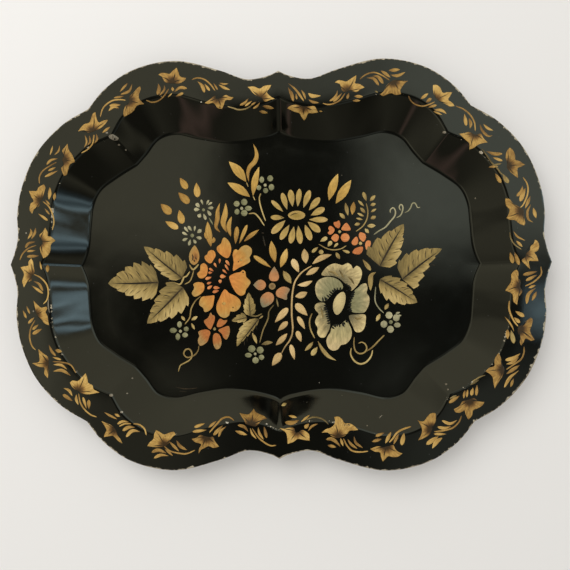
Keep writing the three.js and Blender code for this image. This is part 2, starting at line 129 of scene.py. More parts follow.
BOUQUET = {
    "top_tendril": """
        gold sliver 5.6 -36.5,99 -37.5,110 -35,117 -29.5,123 -27,130 -28,137 -31,144.5
        ochre line 1.2 -39.5,99 -37,93
        ochre line 1.2 -31.5,82 -29,77
    """,
    "gold_flames": """
        gold sliver 5.4 -70.5,39 -75.5,45 -74,55 -73.5,65 -71,74
        gold sliver 6.8 -63,39 -67,50 -64.5,62 -64,74
        gold sliver 5.4 -58,34 -60.5,46 -57,58
        gold dab 5.8 -52.5,25 -50.5,46
        gold dab 4.5 -48,25.5 -38.5,48
        gold sliver 5 -42.5,28 -33,36 -24.5,42
        gold sliver 8 -81.5,22 -84.5,38 -85.5,52
        gold sliver 4 -81,26 -78,30 -78.5,33.5
        gold sliver 4 -83.5,30 -87,34 -89.5,39
    """,
    "scattered_dabs": """
        gold dab 8 -118.5,104.5 -110,91
        gold dab 8 -99,98.5 -97.5,81
        gold dab 9 -120.5,87 -107.5,74
        gold dab 9.5 -141.5,73.5 -129,61.5
        gold dab 8.5 -119.5,66 -115.5,49.5
        gold dab 7.5 -136,52.5 -120.5,44
    """,
    "centre_leaves": """
        gold dab 5.5 -10.5,-3 -31,11
        gold sliver 8.5 -5.5,3 -8,15 -10,28.5
        gold sliver 8 1,-3 5,8 8.5,19.5
    """,
    "vine": """
        cream line 2 1.5,-105 5,-98 12,-88 15,-77 14,-60 14,-45 15,-33 18,-20 26,-9 38,-1
        cream dab 8 22.5,-9 15,7
        ochre sliver 7.5 4,-7 9,-15 13.5,-22
        cream sliver 8.5 29,19 30,10 31,1.5
        cream sliver 6.5 61.5,12 49,8 38.5,1
        cream sliver 6.5 46.5,-3 38,-8 31,-12
        cream sliver 5.5 38.5,-19 30,-23 21,-24
        cream sliver 7.5 32.5,-32.5 25,-36 18,-37.5
        cream dab 9 32.5,-60 18.5,-46
        cream dab 6 29.5,-76 21,-61
        cream dab 6.5 25,-91 20,-78
        cream dab 8 -6,-68 9.5,-51
        cream dab 6.5 -2.5,-78 9,-67
        cream sliver 6.5 -5,-95 2,-88 8.5,-81
        cream dab 9 -9.5,-119 1,-104
        cream dab 6 17,-112 12.5,-94
    """,
    "rose_stems": """
        olive sliver 2 -4,-39 -2,-50
        olive line 1.6 -7,-47 -13,-55 -14,-63 -20,-77 -24,-92
        ochre sliver 4 -33,-80 -30,-86 -27.5,-93
        olive sliver 4.5 -22,-94 -15,-92 -8.5,-91.5
        olive line 1.6 -38,-59 -28,-60.5 -21,-57.5
        olive dab 2 -25,-64 -20,-60
        umber line 1.4 -20,35 -17,22
    """,
    "grey_flower_near": """
        sage oval 4.6,4.2 -33.5,-99
        sage oval 4.3,4.2 -23.5,-100.5
        sage oval 4.2,2.9 -37.5,-106.5
        sage oval 3.8,4 -29,-112.5
        sage oval 3.3,3.2 -22,-109
        pale oval 1.7,1.7 -29.5,-105
    """,
    "grey_flower_left": """
        sage oval 2.8,4 -119,-70
        sage oval 4.5,3.2 -126.5,-77
        sage oval 2.8,4.3 -121,-84.5
        sage oval 3.6,3 -112.5,-82.5
        sage oval 3,3.1 -111,-75.5
        pale oval 1.9,1.9 -118,-78
        ochre line 1.6 -93.5,-36.5 -100,-42 -105,-51 -107,-62 -113,-70
        ochre sliver 3.5 -117,-60 -112.5,-65.5
        ochre sliver 4 -105,-65 -97.5,-60.5
        ochre sliver 3 -105,-68.5 -101,-76
    """,
    "grey_flower_upper": """
        sage oval 3.7,3.5 -51,73
        sage oval 4,4 -42,75
        sage oval 4.3,3 -37,67.5
        sage oval 4,3.9 -42,62
        sage oval 3,3.6 -50.5,63.5
        pale oval 1.9,1.9 -45,67.5
        ochre line 1.6 -37,61 -30,61.5 -25,57 -18,46.5
    """,
    "grey_flower_top": """
        sage oval 2.8,4 -21,101.5
        sage oval 3.7,3.7 -11,103
        sage oval 3.3,4 -9.5,92.5
        sage oval 3.2,3.2 -16.5,88.5
        sage oval 2.8,3.2 -24.5,92
        pale oval 1.9,1.9 -17,95
        ochre line 1.6 -22,85.5 -24,80 -22,68 -16.5,52
    """,
    "white_flower": """
        pale oval 4.4,4.2 128.5,-60
        pale oval 4,4.4 137,-63
        pale sliver 2.6 137,-61 143,-60
        pale sliver 2.2 136,-58 141.5,-56.5
        pale oval 4.1,3 138,-71.5
        pale oval 4.3,4.2 130,-76.5
        pale oval 4,4.5 122.5,-70.5
        sage oval 2.4,2.4 130.5,-68
        pale line 1.4 113,-26 112.5,-44 117,-52 122.5,-57.5
        ochre sliver 4.5 118,-58 113.5,-67
        ochre sliver 4.5 128,-46 123.5,-53.5
    """,
    "small_daisy_upper": """
        pale dab 2.5 -91,72 -93.5,78.5
        pale dab 2.5 -87,72 -84,78
        pale dab 2.5 -85.5,71.5 -80,75
        pale dab 3.8 -85.5,68 -78.5,68.5
        pale dab 3.8 -86,65.5 -81.5,59
        pale dab 3.5 -90.5,61.5 -87.5,54
        pale dab 4.8 -94,61.5 -96.5,57
        pale dab 4.5 -95,66.5 -102,66.5
        pale dab 4.5 -95,69 -99.5,74
        sage oval 1.9,1.9 -90.5,66
        sage sliver 1.6 -84,57 -79,48
    """,
    "small_daisy_lower": """
        pale dab 3.5 -104.5,41 -109,47
        pale dab 3.2 -108.5,39.5 -113.5,46
        pale dab 3.2 -109.5,36 -116,39.5
        pale dab 3.5 -109,32.5 -115.5,29.5
        pale dab 3.5 -106,31 -108,23.5
        pale dab 3.5 -102.5,31 -99.5,26
        pale dab 4 -99.5,33.5 -92.5,32
        pale dab 4.8 -98,38.5 -93,42.5
        pale dab 2.5 -101.5,40.5 -100.5,47
        sage oval 2.3,2.3 -104,35.5
    """,
    "coral_flower_left": """
        coral blob 0 64,50 68,51 70,52.5 72,48 70,43 65,46
        coral blob 0 79,49.5 84,41 73,41.5
        coral blob 0 60,46 65,42 63,37 59,35.5 57,38 59,40 57.5,43
        coral blob 0 61,31.5 66,36.5 70,34 69,29 66,27
        coral oval 5.4,5.2 77.5,32
        ochre oval 1.8,1.8 71,39
    """,
    "coral_flower_right": """
        coral blob 0 85,26 87,23 91,23.5 93,28 91,33 87,30
        coral blob 0 95,38 101,36 102,31 99,27 95,30 93.5,34
        coral blob 0 103,17 101,23 103,28 107,28 107.5,23
        coral blob 0 86,14 88,18 93,20.5 98,21 98,16 94,12
        ochre oval 2.1,2.1 95.5,25
    """,
    "coral_greenery": """
        ochre dab 5 48,27.5 56.5,32.5
        ochre dab 5 57,21.5 61.5,28
        ochre dab 3 64,20.5 69,25.5
        ochre dab 4 45.5,21 38,14.5
        ochre oval 3,2.8 49,15
        umber oval 1,1 49,15
        ochre dab 3.5 74,17 83,14
        ochre sliver 4.5 71,6.5 66.5,14.5
        ochre dab 5 98,6 107.5,-7
        ochre line 1.3 46,24.5 55,19.5 64,17.5 73,19 79,22.5
        ochre sliver 6 113.5,-9 108,-13 107,-20 107,-31
        ochre sliver 4.5 77.5,54.5 71,61
        ochre sliver 4.5 78,73.5 81,58
        gold sliver 6 88,74.5 86,59
    """,
    "fern": """
        ochre line 1.5 102.5,73 104.5,63 103,53 98,45 90,39
        ochre dab 4.5 103,75 99,86
        ochre sliver 3 100,69 93,76
        ochre sliver 4 101.5,61 95.5,67.5
        ochre sliver 2.8 100,57 92,61
        ochre sliver 2.5 98.5,53 90.5,55
        ochre sliver 4 95.5,48.5 88.5,47
        ochre sliver 4.5 107,75 113.5,82
        ochre sliver 4 107.5,70 114,72
        ochre sliver 3 108,62 114.5,66
        ochre sliver 4.5 107.5,54 114,57
        ochre sliver 5 103.5,45.5 113.5,46
        ochre sliver 4 105.5,37 101,42.5
    """,
    "right_tendril": """
        pale line 1.8 111,35 118,40 125,44 131,51 136,57 137,63 134.5,67 131,64.5 131,60.5
        pale line 1.7 138,55 143,58 145.5,64 145.5,69 143.5,71 141.5,68 143,63.5
        pale line 1.6 147.5,61 152,63 155,67 157,72 160,72.5 162,69 163,67 166.5,67.5
    """,
    "anemone_greenery": """
        ochre line 1.8 38,-57 35,-66 36,-76 41,-87
        ochre sliver 4.5 44.5,-90 50,-100 57,-108 66,-113
        ochre sliver 4.5 39,-91 34,-97 29,-101.5
        ochre dab 6 44,-97 37,-107
    """,
    "lower_tendril": """
        ochre line 1.8 87.5,-85.5 87,-95 89,-102 94,-105 100,-103 102,-98 100,-93.5 96,-91.5 92,-93
        ochre line 1.8 100,-103 108,-98 116,-90 123,-83
        ochre line 2.1 84,-98 83,-105 87,-113 94,-117 101,-115 107,-108 109,-100.5
    """,
    "left_stems": """
        ochre line 2 -107.5,1 -103,-5 -96,1.5
        ochre line 1.5 -102,-5 -104,-13 -107,-19 -113,-22.5
        ochre line 2 -136,-21 -127,-20.5 -118.5,-22.5 -115,-17 -114,-14 -111,-13 -106.5,-7
    """,
    "left_tendril": """
        ochre line 1.8 -96,-95 -97,-101 -101,-106 -105,-108 -110,-109 -114,-105 -112,-100 -108,-99
        -105,-102 -104.5,-108 -107,-112 -113,-115.5 -118,-118.5 -120.5,-126
    """,
    "orange_ticks": """
        coral dab 2.6 -71.5,2 -71,8
        coral dab 2.6 -75,-2.5 -78,3
        coral dab 3.4 -59.5,-0.5 -64,6
        coral dab 2.6 -60.5,-6.5 -65,1
        coral dab 2.4 -62.5,-10 -68,-5
        coral dab 2.8 -78.5,-7 -84,-3.5
        coral dab 3 -80,-8.5 -85,-9
        coral dab 3.6 -81,-14 -88.5,-16.5
        coral dab 2.8 -81,-20 -86.5,-22
        coral dab 3.6 -80,-24 -86,-28
        coral dab 4 -71,-27 -79,-26.5
        coral dab 3.6 -72,-30 -80,-32
        coral dab 4.2 -70.5,-21.5 -71,-17
        coral dab 4.8 -64,-13.5 -71,-13
    """,
    "star_eye": """
        olive oval 1.8,1.8 -77.5,-75.5
    """,
}

# Touches laid over the larger paint films.
OVERLAYS = {
    "orange_spots": """
        bronze oval 2.4,1.9 -66.4,-45.4
        umber oval 0.8,0.9 -55.5,-50
        bronze oval 1.8,1.5 -46,6.2
        umber oval 0.8,0.7 -49,4
        umber oval 1.2,0.8 -43.5,-8.5
    """,
    "bud_shading": """
        umber sliver 1.6 -104,14 -103,9 -104.5,5
        umber sliver 1.4 -100,10 -98.6,6.5
        umber sliver 1.6 -102.5,7 -100.5,4
    """,
    "daisy_touches": """
        umber sliver 1.1 12,58 17,60.5 22,61
        umber sliver 0.9 4,56 0,57.4
    """,
    "anemone_fringe": """
        black fringe 4.4 49.5,-43 55,-41.8 59,-37.6 63,-32.6 67.5,-29.4 72.5,-29.6
        black fringe 4.2 84.6,-56 83.6,-49 84.4,-42 87.2,-36.5 88,-31
        black fringe 3.6 58.8,-70 57.2,-62 56,-56 54.2,-51 53.6,-46.5
        black fringe 4.2 79,-66 71.5,-70.8 64,-70.8 60.4,-75
        black fringe 3 84.5,-30.8 83,-26 77.5,-22.4
    """,
    "anemone_folds": """
        olive sliver 3 57,-8 64,-9.5 70,-14
        olive sliver 2.4 70,-6 73,-11 76,-17
        olive sliver 2.4 88,-24 84.5,-18 80,-14
        olive sliver 2.6 87,-62 91,-64 97,-62.5
        olive sliver 2.6 48,-50 50,-57 51,-64
    """,
}
# Old knocks and scratches in the lacquer, on the floor and on the flange and bend, and one painted highlight
# on the wall.
FLOOR_KNOCKS = {
    "floor_specks": """
        metal oval 0.7,0.6 74,106
        metal oval 0.6,0.7 46,-139
        metal oval 0.9,0.6 72,-153
        metal oval 0.6,0.5 31,-160
        metal oval 0.7,0.5 62,-164
        umber oval 1.8,0.9 -20,38
        umber oval 1.6,0.8 -19,29
    """,
    "floor_scratches": """
        metal sliver 0.5 -14,119 0,119.6 8,118.6
        metal sliver 0.4 -26,152 -20,152.6 -12,152
        metal sliver 0.5 148,-66 151.5,-71 155,-76
        metal sliver 0.4 153,-82 155.5,-84
        umber sliver 1.6 -130,-142 -112,-146 -92,-144
        umber sliver 1.2 -124,-148 -106,-150
    """,
}
# Chips on the flange and bend in the bare metal's colour, and the pale touch at -172,-146 on the wall is a
# painted highlight.
BEND_KNOCKS = {
    "bend_chips_and_highlight": """
        metal blob 0 -194,146 -190,148.5 -186,147 -182,143.5 -184,141 -189,141.5 -192.5,143.5
        metal oval 2.5,2.1 -191.5,146
        metal oval 2.7,2.2 -188,145
        metal oval 2.2,2 -184.5,143.5
        metal oval 1.8,1.3 -196,150
        metal oval 1.7,1.3 -182,136
        metal oval 1.1,1 -174,130
        metal oval 2.5,1.8 187,147
        metal oval 2.5,2.1 -190,-148
        metal oval 2,1.5 -178,-167
        metal oval 1.4,1.1 -172,-146
        metal oval 1.3,1.1 -166,-129
        metal oval 1.1,1 98,-182
        metal sliver 1.1 110,-175 115,-170
        metal oval 1.5,1.3 186,-136
        metal oval 1.3,1.1 188,-142
        metal oval 1,1 221,72
        metal oval 1,1 -288,36
        metal oval 1.1,1 -279,-53
        metal sliver 2 -261,-33 -262,-46 -260,-58
    """,
}

# Each border spray is drawn on the flange's plane as EYE sees it, going round from the upper
# left. Its leaf starts with its base, and a star marks a sharp tip. A mark that names no paint
# is in the border's own.
BORDER_PAINT = "bronze"
BORDER = [
    """leaf -212,152 -229,152* -222,160 -216,162 -212,172 -209,174* -208,168 -205,162 -200,164
    -194.5,165* -197,161 -202,156 -208,153 -213,151 -217,150 -221,153
    sliver 2 -221,148 -219,139 -222,133
    sliver 2.5 -216,147 -215,140 -218,136
    dab 1.5 -212,139 -210,148
    sliver 2.5 -208,149 -207,143 -210,138
    line 1.6 -211,148 -212,138 -218,131 -225,127
    sliver 3 -192,157 -201,150""",
    """leaf -246,120 -241,138* -239,130 -236,126 -232,117* -238,114 -240,108 -242,102 -245,101* -248,110
    -245,114 -247,120 -245,124 -247,130 -244,134
    sliver 2 -258,136 -259,131 -261,125
    sliver 2 -250,136 -251,130 -256,125
    dab 3 -252,121 -260,119 -265,114
    line 1.6 -253,117 -262,112 -270,106 -273,100 -273,92
    dab 2.5 -254,111 -263,107
    dab 3 -252,107 -267,100""",
    """leaf -271,73 -285,84* -280,84 -276,84 -274,88 -268,91.5* -266,88 -267,84 -269,76 -272,72 -273,67
    -279,63 -281,58* -284,62 -282.5,70 -279.5,72 -282.5,78
    sliver 4 -261,88 -261,81 -262,74
    sliver 3.5 -255,82 -256,73
    dab 2 -266,74 -261,68
    line 1.7 -269,72 -262,66 -258,58 -256,48 -258,39
    dab 2 -267,64 -261,57
    dab 3 -274,58 -263,50""",
    """leaf -272,26 -266,42* -263,36 -263,32 -260,32 -254,27* -259,23 -260,15 -264,9 -268,7* -271,14
    -272,20 -269,24 -270,28 -273,33 -269,37
    sliver 3 -283,41 -282,36 -286,29
    sliver 3 -277,42 -278,36 -282,29
    dab 3 -277,26 -285,24 -289,19
    line 1.6 -276,22 -286,18 -292,12 -295,5
    dab 2.5 -277,16 -287,15
    dab 3.5 -273,10 -287,9""",
    """leaf -280,-13 -282,7* -280,4 -279,-3 -278,-9 -281,-13 -281,-18 -286,-20 -290,-26* -292,-19
    -290,-11 -294,-3* -290,-2 -285,-1 -285,3
    sliver 4.5 -263,0 -263,-9
    dab 2 -272,4 -270,-6
    dab 3 -279,-19 -273,-22 -268,-30
    dab 3 -281,-24 -268,-33
    line 1.7 -279,-11 -271,-15 -264,-23 -262,-32 -264,-41 -268,-45""",
    """leaf -277,-57 -279,-41* -274,-46 -270,-49 -264,-48 -263,-50* -265,-54 -263,-58 -262,-64 -261,-69*
    -266,-67 -270,-62 -275,-57 -277,-50
    dab 2 -287,-47 -283,-56
    dab 2.5 -291,-52 -287,-61
    dab 3 -278,-60 -285,-67
    line 1.7 -277,-63 -282,-73 -283,-83 -280,-93 -276,-97
    dab 3 -273,-68 -280,-74
    dab 4 -269,-73 -280,-79""",
    """leaf -261,-112 -273,-96* -267,-101 -262,-105 -261,-112 -261,-120 -262,-129* -266,-124 -266,-117
    -272,-116 -280,-112* -272,-110 -272,-104
    dab 3 -261,-91 -258,-98 -253,-104
    sliver 4 -254,-97 -246,-99
    dab 2.5 -257,-105 -247,-108
    line 1.7 -257,-110 -246,-111 -236,-114 -230,-123
    sliver 3 -240,-119 -247,-114 -256,-113.5
    sliver 3.5 -236,-126 -246,-120 -256,-121""",
    """leaf -227,-143 -219,-123* -217,-129 -216,-134 -211,-137 -210,-141 -203,-145* -209,-146 -216,-147
    -223,-146 -227,-143.5 -233,-140 -237,-134* -234,-131.5 -228,-132 -224,-128.5
    sliver 3 -244,-140 -238,-142.5 -234,-149
    dab 4 -233.5,-154.5 -245,-147
    sliver 3 -229.5,-147 -229.5,-153 -227,-159
    line 1.7 -227,-146 -225,-156 -220,-164 -213,-170 -206,-172.5
    dab 3 -218,-163 -222,-150
    dab 4 -215,-163.5 -215.5,-153""",
    """leaf -185,-186 -201,-177* -196,-179 -190,-181.5 -186,-185 -183,-190 -181,-194 -177,-202*
    -181,-200 -185,-196 -188,-193.5 -192,-194 -198,-195* -197,-191 -195,-187.5 -197,-183
    sliver 2.5 -198,-167 -191,-171 -183,-175
    sliver 3 -186,-169 -180,-172
    dab 3 -170,-178 -177,-177.5 -183,-180.5
    line 1.8 -167,-180 -174,-180 -181,-183
    dab 4 -163,-184 -170,-184 -177,-188
    dab 4 -157,-189 -166,-188 -173,-195
    line 1.8 -165,-180 -158,-181 -152,-186 -150,-193""",
    """leaf -129,-204 -139,-187* -135,-189 -130,-192 -124,-190 -119,-189 -117,-192* -121,-195.5
    -124,-201 -128,-205 -134,-206 -141,-206 -149,-205* -146,-200.5 -142,-197 -141,-191
    dab 4 -127,-213 -137,-209.5 -144,-212
    dab 3.5 -125,-216 -134,-215 -141.5,-218.5
    sliver 2.5 -129,-208 -120,-216
    line 1.7 -131,-204 -124,-210 -116,-212.5 -105,-213.5 -95,-209.5
    sliver 3 -124,-200 -119,-205 -113,-211
    sliver 3.5 -116,-198.5 -112,-205 -104,-209.5""",
    """leaf -82,-194.5 -99,-197* -93,-195.5 -89,-192.5 -84,-194 -78,-195 -75,-194.5 -73,-199 -68,-205.5*
    -74,-207 -80,-205 -84,-207 -88,-209 -91,-213.5* -90.5,-208 -88,-203 -90,-202 -95,-200.5
    dab 3.5 -84,-179.5 -96,-184
    dab 3.5 -82,-187 -98,-189
    sliver 3 -71,-177 -80,-184.5
    line 2 -51,-176.5 -57,-172.5 -64,-174 -72,-182 -79,-190
    dab 4 -64,-182 -74.5,-193
    dab 2.8 -60,-183 -66,-188 -68.5,-195
    white blob 0 -61,-178 -59,-180 -57,-179 -58,-178""",
    """leaf -32,-181 -45,-168* -40,-169 -35,-169.5 -31,-166 -29,-163* -27,-166.5 -22,-169.5 -17,-171.5
    -14,-174.5* -19,-175.5 -22,-178.5 -27,-183 -33,-182 -38,-180 -40,-176 -43,-171.5
    dab 3.5 -35,-189 -40,-183.5 -47,-181.5
    sliver 4 -50,-188 -36.5,-192.5
    sliver 2.5 -33,-185 -31,-191 -26,-197
    line 1.8 -31,-185 -24,-195 -17,-201 -10,-204.5 -4,-204
    sliver 3 -24,-184 -23,-190 -18,-198
    dab 3.5 -17.5,-183 -14.5,-196
    white blob 0 -16,-180 -14,-181 -13.5,-179.5""",
    """leaf 20,-188.5 0,-185* 5,-185.5 11,-184.5 16,-185 18,-190 21,-189.5 25,-187 30,-189 33,-192
    33.5,-199* 27,-198 20,-197 16,-200 9,-202.5* 8.5,-196 7,-190 3,-187
    sliver 3 10,-171 19.5,-173
    dab 5 22,-176 14,-179 6,-178.5
    sliver 2.5 34,-170 29,-174 24,-178
    dab 4.5 33,-180 28,-185
    sliver 2.5 43,-180 36,-183 32,-188
    olive line 1.8 55,-181 50,-176 43,-173 36,-173 30,-176
    ochre sliver 3.5 8,-157 2,-160""",
    """leaf 66,-194.5 61,-172.5* 66,-172 70,-175 73,-179.5 78,-179.5 83,-182 88,-187* 83,-187.5 78,-188
    75,-192 70,-195 64,-196 58,-194 54,-190 47,-190* 52,-186 57,-184.5 61,-181 62,-176
    dab 4 68,-206 64,-201 58,-197 52,-197.5
    sliver 3.5 53.5,-204 63,-206
    sliver 2.8 68,-196 71,-205
    line 1.8 71,-196 75,-204 81,-210 89,-211.5 99,-210.5
    sliver 2.8 76,-197 80,-203 87,-208
    sliver 2.8 83,-194 85,-201 93,-207""",
    """leaf 119,-205.5 101,-208* 106,-206 110,-205 115,-206 121,-205 127,-204 129,-208 132,-211
    137,-213* 132,-216.5 126,-217 121,-216 118,-219 115,-222* 113,-217 112,-212 106,-211
    dab 5 139,-190 136,-204
    sliver 3 133,-191 127,-203
    sliver 4 124.5,-189 118,-202
    dab 3.5 117,-190 107,-194
    sliver 3.5 114,-197 103,-200
    line 2.2 147,-183 138,-186 131,-190 126,-197 122,-201""",
    """leaf 169,-186 154,-176* 158,-177.5 161,-177 165,-172 169,-168.5 174,-168.5 174.5,-171 174,-177
    173,-180* 171,-184 170,-187 167,-192 161,-196 154.5,-198.5* 158,-192 159,-187 157,-181
    dab 3.5 198,-176 190,-180 181,-176.5
    dab 3.5 191,-183 183,-185 176,-183.5
    dab 3 186,-191.5 172,-191.5
    sliver 5 181.5,-195.5 175,-200 170,-207.5
    dab 5 177,-194 163.5,-203
    line 1.8 203,-171 200,-178 194,-184 186,-187 172,-189""",
    """leaf 212,-154 194.5,-164* 196,-167 200,-168 204,-166.5 206,-165 207.5,-170 210.5,-175.5*
    214.5,-171 216,-165 221,-163 226,-160 228.5,-156* 222,-155 219,-153 217,-151.5 212,-153 207,-154.5
    204,-155.5 201,-160
    dab 3.5 220.5,-137 219.5,-149
    dab 4 216,-140 214,-149
    sliver 2.5 210,-142 209,-151
    sliver 3 207,-143 205.5,-152
    olive sliver 2.6 223,-131 218,-134 213,-137
    olive line 1.6 230,-126 224,-128 219,-131 215,-133
    dab 4 201,-149 189,-157
    olive sliver 2 198,-148.5 190,-152""",
    """leaf 250,-120 245,-101.5* 247,-106 248.5,-113 251,-120 249,-127 245,-133 240,-141* 238.5,-134
    238,-129 235,-125 230,-122* 234,-118 240,-116 240,-110 242,-105
    dab 4.5 269,-102 261,-107.5 252,-109.5
    sliver 3.5 267,-106 260,-112 253,-114
    sliver 4 268,-115 253,-125
    dab 3.5 267,-121 257,-129 250.5,-140
    sliver 3 261,-130 257.5,-139.5
    line 1.8 273,-94 273,-101 270,-108 262,-114 253,-120""",
    """leaf 268,-75 281,-62* 283,-64 282,-71 280,-76 281,-80 285,-87* 281,-88 275,-85.5 273,-89
    270,-93.5* 268.5,-90 269,-84 266.5,-78 267,-73 272,-70 276,-66
    line 2 257.5,-43 257,-52 259,-59 263,-67 267,-72
    sliver 2 252,-61 257,-67 261,-74 262,-78
    dab 4.5 264,-55 274,-61
    dab 4 262.5,-62 269,-68
    sliver 4.5 255,-75 255,-86
    ochre dab 5 259,-76 262,-91""",
    """leaf 270,-27 266,-8.5* 268,-11 268,-17 270,-22 270,-28 272,-33 268,-39 266,-48* 262,-44 261,-36
    256,-33 253,-32* 255.5,-28 258.5,-24 260,-20 260,-14 263,-10
    dab 4 289,-10.5 273,-14.5
    dab 3.5 288.5,-14.5 276,-21
    sliver 3 287,-26 279,-29
    dab 4 287,-29 279,-36 276.5,-47
    sliver 3.5 288,-33 282.5,-43.5
    line 1.8 293,-5 293.5,-13 289,-19 282,-24 275,-27""",
    """leaf 275,9 287,25* 290,23 291.5,17 289,12 286,11 288.5,7 290.5,1* 284,1 280,1 281,-8* 277,-4
    272,2 276,6 277,10 281,13 282,18 285,20
    dab 5 259,11 262,-1.5
    dab 4.5 264,11 269,-3.5
    sliver 2.2 263,35 267,29 276,24
    sliver 3 266,24 273,17
    olive line 1.5 259,34 260,27 264,20 272,14""",
    """leaf 273,57 254.5,71.5* 259,71 263,66 270,62 275,58 275,50 276.5,44 275,41* 270,43 265,47
    259,47.5 255.5,49.5* 258,54 259,59 255.5,63 254.5,68
    dab 4 274,86 272.5,79 267,74
    dab 5 277,83 271,68
    sliver 3.5 282.5,74 276.5,60
    sliver 2.8 283,65 279,56 280,48 285,44.5
    sliver 4 285.5,61 288.5,49
    line 1.8 274.5,95.5 279,88 280,80 278,72 274,64 271,61""",
    """leaf 257,109 260,129* 263,127 266,121 266.5,115 270,114 277,109.5* 272,107 269,106 269,94.5*
    262,100 257,106 257,112 255.5,118 256.5,124
    dab 4 234,125 243,122 252,122
    dab 3 241,118 252,114
    dab 4.5 243.5,100 250,89
    ochre dab 5 252,98 258.5,89
    olive line 1.8 229,128 234,121 240,112 245,107 250,100 256,96
    olive sliver 2 240,109 251,111
    sliver 2.5 236,107 247,108""",
    """leaf 221,145 204,145* 210,146 215,147 222,144 228,145 231,140 235.5,135* 229,134 224,132 220,129
    215,127* 215,134 211,138 207,142
    dab 4 210,168 211,160 212,154
    sliver 3.5 215,163 217,156 216,151
    sliver 3 227,156 230,148 237,142 241,143
    sliver 3 231,156 236,151 242,148.5
    line 1.7 200,177 209,173 216,167 221,158 222,148""",
    """leaf 178,184 175,201* 179,201 183,198 186,192 191,192.5 196.5,192.5* 194,188 192,184 197,180
    199,176.5* 193,176.5 189,179 185,181 180,184 177,188 175,194
    sliver 3.5 161,185 169.5,191.5
    dab 4 167,181 173,186
    dab 3 169,175.5 179,178
    sliver 3.5 176,172.5 184,172 190,168
    sliver 2 175,171 185,167
    line 1.7 147,189 150,183 156,178.5 163,177 171,179 177,182""",
    """leaf 130,206.5 147,206* 140,206 133,207.5 127,205 122,200 119,194 115,191* 118,189 124,191
    128,192 133,190 139,191* 138,195 140,199 143,203
    dab 3.5 100,210 108,209 114,201
    dab 4 107,212 113,211 119,203
    sliver 3.5 116,218 121,215 127,210
    sliver 4 125,218 138,219
    sliver 3.5 127,213 135,212 144,216
    olive sliver 2 109,195 113,193
    line 1.7 92,208 98,213 108,216 117,213 126,207""",
    """leaf 78,195 88.5,213* 88,208 87,204 92,203 98,199* 93,197 89,194 84,195 81,196 77,194 73,195
    71,199 70,203 64,205* 68,207.5 73,207 77,206 82,209
    dab 3 67,196 66,191 62,186 58,184
    dab 3 72,193 68,188 62,183
    dab 3 80,193 78,186
    sliver 3.5 86,189 96,188.5
    sliver 3 84,184 93,184
    line 1.7 76,193 70,185 63,181 56,180 50,181.5""",
    """leaf 29,178 10,176* 14,179 20,180 28,178 36,178 41,178 45,171* 39,170 34,170 31,164 29,162*
    26,166 24,170 18,172
    dab 2.5 11,205 20,197 29,184
    dab 4 11,200 15,192 17,184
    dab 2 20,193 21,186
    sliver 2.5 26,197 29,192 31,186
    blob 0 34,193 39,192 48,190 42,188 37,188
    sliver 3 34,186 39,183 46,182
    sliver 1.6 46,172.5 50,172""",
    """leaf -20,188 -35,201* -28,201.5 -21,199 -16,202 -8,203* -10,199 -13,195 -9,190 -4,187* -9,186
    -15,184 -19,188 -23,190 -29,194 -32,198
    dab 3 -34,188 -38,183 -44,180
    dab 2.5 -30,185 -38,179
    dab 2 -25,184 -31,180
    dab 2.5 -21,183 -24,179 -29,176
    olive line 1.7 -30,180 -37,176 -45,175 -52,177 -58,179
    sliver 4 -18,179 -5,176
    sliver 3.5 -22,173 -12,171""",
    """leaf -69,189 -84,183* -78,187 -72,191.5 -71,188 -67,188 -60,192 -55,190 -51,189* -54,186.5
    -60,186 -62,181 -64,176* -69,177 -74,183 -80,182
    dab 4 -92,208 -87,203 -84,195
    dab 3 -84,205 -78,197
    dab 2 -74,206 -69,198
    sliver 3 -68,204 -61,200 -55,198
    sliver 2 -67,206 -62,204.5 -57,205
    line 1.8 -99,210 -92,212 -84,210 -77,204 -72,197
    white blob 0 -89,184 -87.5,185 -87,183.5""",
    """leaf -121,207 -116,224* -114,219 -112,214 -105,212* -107,209 -113,206 -121,206 -128,207 -131,210
    -133,214 -137,216* -134,218 -129,218 -124,217 -121,220
    dab 4.5 -137,206 -136,200 -138,193
    sliver 2.5 -130,204 -130,199 -136,192
    line 1.7 -125,200 -130,192 -137,186 -144,184.5 -151,187
    sliver 3 -121,202 -120,197
    dab 3.5 -119,196 -112,201 -104,200
    dab 3 -117,191 -108,195
    sliver 1.5 -126,190 -121,195""",
    """leaf -171,187 -158,203* -157,200 -159,194 -159,189 -153,182.5* -161,181 -166,174 -176,168*
    -177,172 -175,180 -170,185 -170,191 -165,196 -161,201
    sliver 2.5 -172,207 -181,197
    dab 3 -167,206 -170,198 -180,194
    dab 2.5 -176,192 -188,190
    dab 4 -180,182 -193,181
    sliver 3.5 -182,178 -188,180 -194,175
    line 1.7 -203.5,168 -201,177 -196,183 -189,187 -180,188 -174,187""",
]

# ---- Curves --------------------------------------------------------------------------------


